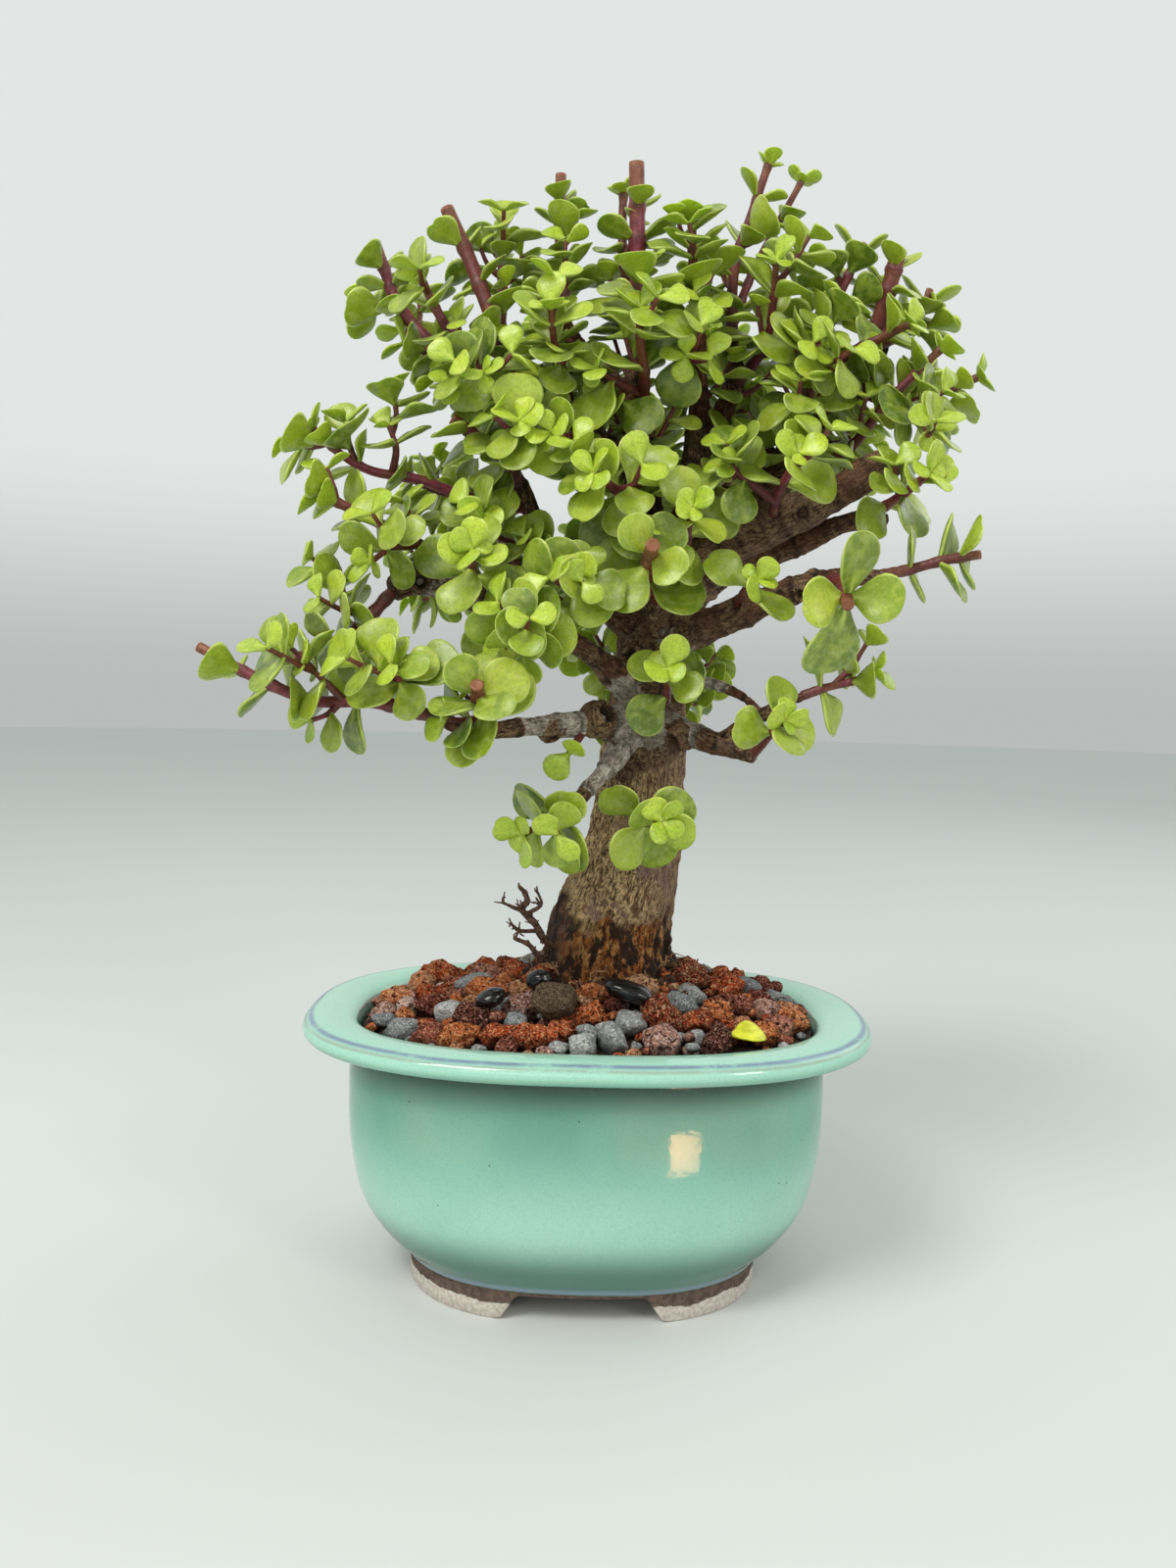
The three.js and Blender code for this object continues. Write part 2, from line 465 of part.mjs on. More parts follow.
function moundHeight(x, y) {
  const g = ((x - MOUND.x) / MOUND.rx) ** 2 + ((y - MOUND.y) / MOUND.ry) ** 2;
  return MOUND.edge + MOUND.rise * Math.exp(-1.1 * g);
}

// Where each surface stone lies: a jittered hexagonal field inside the rim and off the trunk.
function stoneField() {
  const stones = [];
  const rows = Math.ceil(120 / STONE.pitch);
  for (let j = -rows; j <= rows; j++) {
    for (let i = -rows; i <= rows; i++) {
      const x = (i + (j & 1) / 2) * STONE.pitch + (scatter(i, j, 1) - 0.5) * 2 * STONE.jitter;
      const y = j * STONE.pitch * 0.866 + (scatter(i, j, 2) - 0.5) * 2 * STONE.jitter;
      const r = STONE.rMin + (STONE.rMax - STONE.rMin) * scatter(i, j, 3);
      const inset = r - 0.2;
      const along = Math.abs(x) / (POT_INNER[0][0] - inset);
      const across = Math.abs(y) / (POT_INNER[0][1] - inset);
      const rim = along ** OVAL_POWER + across ** OVAL_POWER;
      const off = Math.hypot(x - TRUNK[2][0], y - TRUNK[2][1]);
      if (rim < 1 && off > TRUNK[2][3] + r * 0.2) stones.push({ x, y, r, i, j });
    }
  }
  return stones;
}

function stoneGeometry({ x, y, r, i, j }) {
  const stone = new THREE.SphereGeometry(r, 6, 2);
  stone.rotateX(Math.PI / 2);
  stone.deleteAttribute('normal');
  stone.deleteAttribute('uv');
  const merged = mergeVertices(stone);
  const p = merged.attributes.position;
  for (let v = 0; v < p.count; v++) {
    const s = 0.84 + 0.3 * scatter(i + 31, j + 17, v);
    p.setXYZ(v, p.getX(v) * s, p.getY(v) * s, p.getZ(v) * s * STONE.squash);
  }
  merged.rotateZ(scatter(i, j, 4) * 6.28);
  merged.translate(x, y, moundHeight(x, y) + STONE.lift);
  return merged;
}

// Packed mix that fills the pot, with its surface stones fused on and each cut taken out.
function buildSoil(cuts) {
  const inset = 0.4;
  const wall = [...POT_INNER].reverse().map(([a, b, z]) => {
    const onFloor = z === FLOOR_TOP;
    return ovalRing(a - inset, b - inset, onFloor ? z + GAP : z);
  });
  const rimA = POT_INNER[0][0] - inset;
  const rimB = POT_INNER[0][1] - inset;
  const top = [1, 0.84, 0.58, 0.34].map((f) => {
    const ring = ovalRing(rimA * f, rimB * f, 0);
    ring.forEach((p) => p.setZ(f === 1 ? MOUND.edge - 0.4 : moundHeight(p.x, p.y)));
    return ring;
  });
  let soil = toSolid(loft([...wall, ...top]));
  for (const stone of stoneField()) soil = soil.add(toSolid(stoneGeometry(stone)));
  for (const cut of cuts) soil = soil.subtract(cut);
  return soil;
}

// ---------------------------------------------------------------- shoots and leaves

function halfWidth(leaf, u) {
  const f = Math.min(1, Math.max(0, u / leaf.length));
  const last = LEAF_OUTLINE.length - 1;
  for (let k = 0; k < last; k++) {
    const [f0, w0] = LEAF_OUTLINE[k];
    const [f1, w1] = LEAF_OUTLINE[k + 1];
    if (f <= f1) return leaf.half * (w0 + ((w1 - w0) * (f - f0)) / (f1 - f0));
  }
  const [fl, wl] = LEAF_OUTLINE[last];
  return leaf.half * wl * (1 - (f - fl) / (1 - fl));
}

function leafPoint(leaf, u, v, w) {
  const point = leaf.root.clone().addScaledVector(leaf.along, u);
  return point.addScaledVector(leaf.across, v).addScaledVector(leaf.up, w);
}

// A flat back and a crowned face; grow swells the blade on every side.
function leafGeometry(leaf, grow = 0) {
  const back = -LEAF.back - grow;
  const rim = LEAF_OUTLINE.slice(1).map(([f, w]) => {
    const u = f * leaf.length + (f > 0.7 ? grow : 0);
    return [u, w * leaf.half + grow];
  });
  const ring = [
    leafPoint(leaf, -grow, 0, back),
    ...rim.map(([u, v]) => leafPoint(leaf, u, v, back)),
    ...[...rim].reverse().map(([u, v]) => leafPoint(leaf, u, -v, back)),
  ];
  const points = [...ring, leafPoint(leaf, leaf.length * LEAF.crown, 0, LEAF.thick - LEAF.back + grow)];
  const faces = [];
  for (let i = 0; i < ring.length; i++) faces.push(ring.length, (i + 1) % ring.length, i);
  faces.push(0, 1, ring.length - 1);
  for (let i = 2; i < ring.length - 1; i++) faces.push(1, i, i + 1);
  return meshFrom(points.flatMap((p) => [p.x, p.y, p.z]), faces);
}

const UP = new THREE.Vector3(0, 0, 1);
const NORTH = new THREE.Vector3(0.28, 0.93, 0.24).normalize();   // no stem runs along it
const CANOPY_HEART = new THREE.Vector3(18, 24, 250);              // the blades face away from it
const FACING = { tip: 0.55, sky: 0.3, outward: 0.75 };            // what a blade's face turns to
const STALK_CORNER = 0.6;         // half diagonal of a square stalk, as a share of its diameter

// The direction at an angle about a stem, measured from the frame that its stalk is built on.
function aroundStem(tangent, angle) {
  const side = new THREE.Vector3().crossVectors(tangent, NORTH).normalize();
  const other = new THREE.Vector3().crossVectors(tangent, side);
  return side.multiplyScalar(Math.cos(angle)).addScaledVector(other, Math.sin(angle));
}

// A four-sided stalk whose flats face the leaf pairs.
function buildStalk([route, dBase, dTip, , , , turn]) {
  const curve = routeCurve(route);
  const steps = route.length - 1;
  const rings = [];
  for (let k = 0; k <= steps; k++) {
    const centre = curve.getPoint(k / steps);
    const tangent = curve.getTangent(k / steps);
    const radius = THREE.MathUtils.lerp(dBase, dTip, k / steps) * STALK_CORNER;
    rings.push([45, 135, 225, 315].map((corner) => {
      const angle = THREE.MathUtils.degToRad(turn + corner);
      return centre.clone().addScaledVector(aroundStem(tangent, angle), radius);
    }));
  }
  return toSolid(loft(rings));
}

// One leaf: its root on the stem's axis, its length away from the stem, its face to the tip.
function placeLeaf(point, tangent, aroundDeg, liftDeg, length, roll, sunk) {
  const outward = point.clone().sub(CANOPY_HEART).normalize();
  const out = aroundStem(tangent, THREE.MathUtils.degToRad(aroundDeg));
  const lift = THREE.MathUtils.degToRad(liftDeg);
  const along = out.clone().multiplyScalar(Math.cos(lift)).addScaledVector(tangent, Math.sin(lift));
  along.normalize();
  const facing = tangent.clone().multiplyScalar(FACING.tip);
  facing.addScaledVector(UP, FACING.sky).addScaledVector(outward, FACING.outward);
  const up = facing.addScaledVector(along, -facing.dot(along)).normalize();
  up.applyAxisAngle(along, roll);
  const across = new THREE.Vector3().crossVectors(up, along);
  const root = point.clone().addScaledVector(along, -sunk);
  return { root, along, across, up, length, half: length * LEAF.slim };
}

function leafSamples(leaf) {
  const samples = [];
  for (const f of [0.22, 0.36, 0.5, 0.64, 0.78, 0.9, 1]) {
    for (const v of [-1, -0.5, 0, 0.5, 1]) {
      const u = f * leaf.length;
      samples.push({ f, p: leafPoint(leaf, u, v * halfWidth(leaf, u), 0) });
    }
  }
  return samples;
}

function insideLeaf(leaf, p, margin) {
  const q = p.clone().sub(leaf.root);
  const u = q.dot(leaf.along);
  if (u < -margin || u > leaf.length + margin) return false;
  if (Math.abs(q.dot(leaf.across)) > halfWidth(leaf, u) + margin * 0.7) return false;
  return Math.abs(q.dot(leaf.up)) < LEAF.thick * 0.5 * 0.7 + margin;
}

function toSegment(p, a, b) {
  const ab = b.clone().sub(a);
  const t = Math.min(1, Math.max(0, p.clone().sub(a).dot(ab) / ab.lengthSq()));
  return { gap: p.distanceTo(a.clone().addScaledVector(ab, t)), t };
}

// True where a leaf stands clear of every capsule and every leaf of other shoots, and does not
// lie across a leaf of its own shoot.
function leafIsClear(leaf, shoot, leaves, capsules) {
  const samples = leafSamples(leaf);
  const middle = leafPoint(leaf, leaf.length / 2, 0, 0);
  for (const c of capsules) {
    const own = c.shoot === shoot;
    const reach = leaf.length / 2 + Math.max(c.ra, c.rb) + 3;
    if (toSegment(middle, c.a, c.b).gap > reach) continue;
    for (const { f, p } of samples) {
      if (own && f < 0.5) continue;
      const { gap, t } = toSegment(p, c.a, c.b);
      const r = c.ra + (c.rb - c.ra) * t;
      if (gap < r + (own ? 0.2 : LEAF_CLEAR)) return false;
    }
  }
  for (const other of leaves) {
    if (other.root.distanceTo(leaf.root) > other.length + leaf.length + 3) continue;
    const own = other.shoot === shoot;
    const margin = own ? 0.5 : LEAF_CLEAR;
    const counts = ({ f }) => !(own && f < 0.4);
    if (samples.some((at) => counts(at) && insideLeaf(other, at.p, margin))) return false;
    if (leafSamples(other).some((at) => counts(at) && insideLeaf(leaf, at.p, margin))) return false;
  }
  return samples.every(({ p }) => p.z > LEAF_LOWEST);
}

function stemCapsules(shoot, [route, dBase, dTip]) {
  const curve = routeCurve(route);
  const steps = route.length - 1;
  const points = Array.from({ length: steps + 1 }, (_, k) => curve.getPoint(k / steps));
  return points.slice(1).map((b, k) => ({
    a: points[k],
    b,
    shoot,
    ra: THREE.MathUtils.lerp(dBase, dTip, k / steps) / 2,
    rb: THREE.MathUtils.lerp(dBase, dTip, (k + 1) / steps) / 2,
  }));
}

function woodCapsules() {
  return [TRUNK, ...BRANCHES].flatMap((route) => {
    const curve = routeCurve(route);
    const steps = route.length - 1;
    return route.slice(1).map((end, k) => ({
      a: curve.getPoint(k / steps),
      b: curve.getPoint((k + 1) / steps),
      shoot: 'trunk',
      ra: route[k][3] * 1.05,
      rb: end[3] * 1.05,
    }));
  });
}

// The pairs of one stem: opposite leaves, each pair at right angles to the last, closer together
// and smaller towards the tip.
function leavesOfStem(shoot, s, stemIndex, stem, leaves, capsules) {
  const [route, dBase, dTip, length, pairs, from, turn, end] = stem;
  const curve = routeCurve(route);
  const placed = [];
  for (let i = 0; i < pairs; i++) {
    const g = pairs === 1 ? 1 : i / (pairs - 1);
    const at = from + (LAST_PAIR[end] - from) * (1 - (1 - g) ** 1.25);
    const point = curve.getPoint(at);
    const tangent = curve.getTangent(at);
    const sunk = THREE.MathUtils.lerp(dBase, dTip, at) * -0.06;
    const bud = end === 'bud';
    const young = bud ? 1 - 0.42 * Math.max(0, g * 1.6 - 0.6) : 1 - 0.16 * g;
    for (const k of [0, 1]) {
      const rnd = (n) => scatter(s * 7 + stemIndex * 3 + 1, i * 2 + k + 1, n) - 0.5;
      const around = turn + i * 90 + k * 180 + rnd(1) * 24;
      const lift = 12 + 30 * g * (bud ? 1 : 0.5) + rnd(2) * 24;
      const size = length * young * (0.9 + 0.3 * (rnd(3) + 0.5));
      const roll = rnd(4) * 0.7;
      for (const [turnBy, liftBy, share] of BENDS) {
        const leaf = placeLeaf(point, tangent, around + turnBy, lift + liftBy, size * share, roll, sunk);
        leaf.shoot = shoot;
        if (leafIsClear(leaf, shoot, leaves, capsules)) {
          leaves.push(leaf);
          placed.push(leaf);
          break;
        }
      }
    }
  }
  return placed;
}

// ---------------------------------------------------------------- assembly

const tree = new THREE.Group();

function addMesh(name, geometry, color, roughness, metalness = 0) {
  geometry.computeVertexNormals();
  const mesh = new THREE.Mesh(geometry, new THREE.MeshStandardMaterial({ color, roughness, metalness }));
  mesh.name = name;
  tree.add(mesh);
}

addMesh('pot', toGeometry(buildPot()), 0x86bfa6, 0.15);

const screenCuts = [];
for (const [name, side] of [['drain_screen_left', -1], ['drain_screen_right', 1]]) {
  const x = side * DRAIN.offset;
  addMesh(name, toGeometry(buildScreen(x, FLOOR_TOP + GAP)), 0x2c2f2e, 0.6);
  screenCuts.push(buildScreen(x, FLOOR_TOP + GAP, GAP));
}

const wood = buildTrunk();
const woodCut = buildTrunk(GAP);
addMesh('trunk', toGeometry(wood), 0x8a7a6a, 0.9);

const fallenAlong = new THREE.Vector3(1, 0, 0);
fallenAlong.applyAxisAngle(new THREE.Vector3(0, 1, 0), THREE.MathUtils.degToRad(-FALLEN.tilt));
fallenAlong.applyAxisAngle(UP, THREE.MathUtils.degToRad(FALLEN.turn));
const fallenUp = UP.clone().addScaledVector(fallenAlong, -fallenAlong.z).normalize();
const [fallenX, fallenY] = FALLEN.at;
const fallenLeaf = {
  root: new THREE.Vector3(fallenX - FALLEN.length / 2, fallenY, moundHeight(fallenX, fallenY) + FALLEN.lift),
  along: fallenAlong,
  up: fallenUp,
  across: new THREE.Vector3().crossVectors(fallenUp, fallenAlong),
  length: FALLEN.length,
  half: FALLEN.length * LEAF.slim,
};
addMesh('fallen_leaf', toGeometry(toSolid(leafGeometry(fallenLeaf))), 0xd2d43a, 0.5);

const fallenCut = toSolid(leafGeometry(fallenLeaf, GAP));
addMesh('soil', toGeometry(buildSoil([woodCut, ...screenCuts, fallenCut])), 0x8a4a38, 0.95);

const leaves = [];
const capsules = woodCapsules();
for (const [name, stems] of Object.entries(SHOOTS)) {
  for (const stem of stems) capsules.push(...stemCapsules(name, stem));
}
Object.entries(SHOOTS).forEach(([name, stems], s) => {
  const stalks = stems.map(buildStalk);
  const blades = stems.flatMap((stem, k) => leavesOfStem(name, s, k, stem, leaves, capsules));
  const shoot = join([...stalks, ...blades.map((leaf) => toSolid(leafGeometry(leaf)))]).subtract(woodCut);
  addMesh(`shoot_${name}`, toGeometry(shoot), 0x86a83c, 0.45);
});

const size = new THREE.Box3().setFromObject(tree);
const middle = size.getCenter(new THREE.Vector3());
const group = new THREE.Group();
tree.position.set(-middle.x, -middle.y, 0);
group.add(tree);

export default group;
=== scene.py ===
"""Looks of a dwarf jade bonsai in a glazed oval pot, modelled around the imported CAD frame.

Lengths in the tables and functions are millimetres around the middle of the pot, with the table
at z = 0. make_piece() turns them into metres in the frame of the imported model.
"""

import math

import bmesh
import bpy
import numpy as np
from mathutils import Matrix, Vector, kdtree


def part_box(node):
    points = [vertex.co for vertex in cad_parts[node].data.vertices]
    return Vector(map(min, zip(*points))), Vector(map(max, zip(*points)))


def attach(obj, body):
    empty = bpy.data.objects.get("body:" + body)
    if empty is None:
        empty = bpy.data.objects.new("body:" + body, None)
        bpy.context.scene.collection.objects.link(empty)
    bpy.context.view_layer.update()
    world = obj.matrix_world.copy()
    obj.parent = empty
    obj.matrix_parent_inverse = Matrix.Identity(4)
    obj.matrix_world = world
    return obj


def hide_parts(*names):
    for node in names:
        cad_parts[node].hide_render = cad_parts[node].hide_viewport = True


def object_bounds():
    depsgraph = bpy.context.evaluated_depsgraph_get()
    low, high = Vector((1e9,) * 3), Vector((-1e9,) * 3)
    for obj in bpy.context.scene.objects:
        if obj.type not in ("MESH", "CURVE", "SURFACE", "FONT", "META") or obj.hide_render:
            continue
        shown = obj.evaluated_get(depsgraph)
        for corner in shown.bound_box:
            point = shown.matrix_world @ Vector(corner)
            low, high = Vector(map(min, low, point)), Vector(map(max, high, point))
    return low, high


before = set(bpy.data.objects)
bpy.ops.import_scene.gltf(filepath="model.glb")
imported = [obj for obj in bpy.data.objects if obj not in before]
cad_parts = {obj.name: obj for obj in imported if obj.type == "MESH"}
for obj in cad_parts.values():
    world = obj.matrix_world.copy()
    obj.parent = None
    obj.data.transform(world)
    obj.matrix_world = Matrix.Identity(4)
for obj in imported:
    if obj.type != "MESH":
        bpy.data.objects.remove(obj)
CAD_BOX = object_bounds()

MM = 0.001
POT_LOW, POT_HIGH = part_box("pot")
CENTRE = np.array([(POT_LOW.x + POT_HIGH.x) / 2, (POT_LOW.y + POT_HIGH.y) / 2, 0.0])
BOX_LOW, BOX_HIGH = (np.array(corner) for corner in CAD_BOX)

# ------------------------------------------------------------------ driving dimensions


def points_of(text):
    """The points in text such as "1 2 3, 4 5 6"."""
    return [tuple(float(number) for number in point.split()) for point in text.split(",")]


def lines_of(text):
    return [line for line in text.strip().splitlines() if not line.startswith("#")]


def rows_of(text):
    return [points_of(line) for line in lines_of(text)]


def read_shoots(text):
    """The stems of each shoot by its name."""
    shoots = {}
    for line in lines_of(text):
        name, numbers, route = line.split(":")
        *sizes, pairs, start, turn, end = numbers.split()
        stems = stems if name == "+" else shoots.setdefault(name, [])
        stems.append((points_of(route), *map(float, sizes), int(pairs), float(start), float(turn), end))
    return shoots


# Camera: the photograph is 1200 x 1600, taken from in front of the pot and a little above.
PHOTO_HEIGHT = 1600
FOCAL_PX = 1202
CAMERA_AT = (-2.4, -420.0, 204.8)
CAMERA_PITCH = 0.073
CAMERA_ROLL = -0.023

OVAL_POWER = 2.5                  # superellipse exponent of the pot's footprint
POT_SIDES = 176
# Pot section from the foot's top, up the outside, over the lip, down the inside to the floor:
# half length, half width, height.
POT_PROFILE = [
    (62.0, 48.6, 9.5), (63.2, 49.3, 10.6), (64.6, 50.0, 12.6), (71.6, 52.6, 18.5), (79.4, 55.8, 30),
    (83.6, 58.0, 48), (84.4, 58.4, 70), (84.3, 58.2, 82.0), (84.9, 58.8, 85.2), (87.2, 61.0, 86.3),
    (92.0, 65.6, 86.5), (96.8, 70.2, 86.9), (99.2, 72.5, 88.0), (100, 73.3, 89.9), (99.5, 72.8, 91.9),
    (97.6, 70.9, 93.4), (93.0, 66.4, 94.2), (87.0, 60.5, 93.8), (83.4, 57.0, 92.8), (81.2, 54.8, 90.6),
    (80.2, 53.8, 86), (77.8, 52.2, 60), (75.6, 50.8, 35), (71.0, 48.6, 22), (62.0, 43.6, 17),
]
FOOT_OUTER, FOOT_INNER = (62.0, 48.6), (52.5, 39.5)
FOOT_GAP = {"front": 28.0, "side": 15.0, "height": 8.8, "slope": 7.5}
DRAIN = {"radius": 7.0, "offset": 32.0}
GLAZE_EDGE = 11.0                 # where the glaze ends above the bare clay foot
# Thin broken lines where the glaze runs thin over the lip's edges: place along the section
# counted from its crest, half width, strength, colour.
LIP_LINES = [(-5.6, 1.7, 0.8, "66719a"), (-7.6, 1.0, 0.5, "8a7a70"), (11.5, 1.1, 0.75, "756b66")]

MOUND = {"edge": 89.2, "rise": 17.0, "x": 7.0, "y": 10.0, "rx": 58.0, "ry": 42.0}
SOIL_OVAL = (79.8, 53.4)

# Trunk and woody branches: x, y, z, radius.
TRUNK = points_of("""7 15 72 21, 7 15 90 26.5, 7 14 99 26.5, 7 13 115 22.8, 12 12 137 19.2, 16 12 156 17.3,
18 12 177 15.7, 19 12 196 14.7, 20 12 212 12.8, 21 10 228 13.2, 25 9 243 12.4, 27 9 252 8.6""")
BRANCHES = rows_of("""
# the two heavy limbs to the right, the lower one forked off the first
25 8 238 10.5, 44 2 259 8.4, 64 -8 268 6.9, 82 -14 277 5.8, 95 -20 286 5
38 10 250 6.6, 54 10 255 5.6, 72 4 262 4.6, 88 -5 268 3.2, 99 -11 268 2.4
23 8 226 8, 44 -8 233 5.8, 62 -22 241 4.6, 76 -32 245 3.6, 91 -38 246 2.2
18 4 196 8.5, 31 -14 194 4.4, 42 -24 190 3.6, 53 -32 187 2.6
41 -23 190 3.1, 50 -28 197 2.3, 59 -30 203 1.9, 69 -30 207 1.6
24 3 214 3.2, 40 -8 211 2.1, 51 -16 206 1.7, 58 -24 199 1.6
# left side
17 4 197 8, -2 -20 196 4.7, -22 -38 195 3.2, -39 -54 194 2.4, -51 -56 199 2.1
13 2 193 6, 4 -20 180 3.3, -3 -30 173 2.6, -5 -34 170 1.9
18 8 206 8, 6 -4 214 5.2, -2 -12 220 3.7, -11 -22 225 3, -22 -32 228 2.4
18 8 226 6, 2 0 235 3.1, -10 -8 235 2.7, -24 -14 236 2.9, -43 -18 238 4.7, -59 -22 243 5.2, -69 -26 239 3.9
-4 -4 235 2.8, -14 6 238 2.9, -21 12 246 3.2, -23 12 264 3.2, -27 6 278 3.2, -35 0 287 2.5
# the crown
22 8 236 9, 18 4 258 7, 15 2 286 5.6, 14 0 302 4.4, 12 -3 318 3.4
26 9 240 9, 32 12 267 6.2, 34 12 291 4.9, 35 8 308 3.8, 34 3 322 2.6
28 9 240 9.5, 44 16 256 8.2, 56 23 270 6.8, 70 30 292 5.6, 86 34 313 4.6, 98 33 326 3.8, 105 30 339 2.8
15 2 284 5.2, -4 0 296 4.4, -20 -2 304 3.8, -34 -3 311 3.3, -47 0 317 2.6
14 0 304 4, 2 1 317 3.2, -8 3 327 2.7, -14 4 337 2.2
34 12 292 5, 44 14 309 4, 48 14 321 3.4, 46 13 335 2.7
70 30 294 5.4, 73 26 312 4, 77 23 330 3, 80 22 345 1.9
# the back of the tree
24 12 238 8.5, 28 40 258 5.4, 26 60 272 3.8, 22 76 288 2.6
14 6 284 5, 2 28 300 3.7, -10 46 314 2.6
68 32 290 6, 68 52 300 4, 63 68 312 2.8
-20 13 246 3.4, -27 34 250 3.1, -38 50 262 2.3
18 18 198 7, 20 44 208 3.6, 14 62 216 2.4
""")
KNOBS = [
    (15, -2, 199, 7.2), (30, -6, 226, 6.2), (-58, -21, 244, 6.4), (-44, -17, 239, 5.6), (72, -28, 245, 4.4),
    (52, 4, 264, 8.2),
]
DEAD_TWIG = rows_of("""
-9 8 112 2.3, -16 5 117 2.1, -20 2 122 1.7, -23 0 128 1.4, -23 -2 132 1.1, -24 -3 135.5 0.9
-21 1 126 1.3, -25 -2 129.5 1.1, -30.5 -4 131 0.8
-19 3 120 1.3, -24 0 120 1.1, -26.5 -2 122 0.8
-22 0 127 1.1, -19 -2 131 0.9, -19 -3 134 0.7
-13 6 106 1.7, -20 3 111 1.3, -24 1 116 1, -27 0 117 0.8
""")
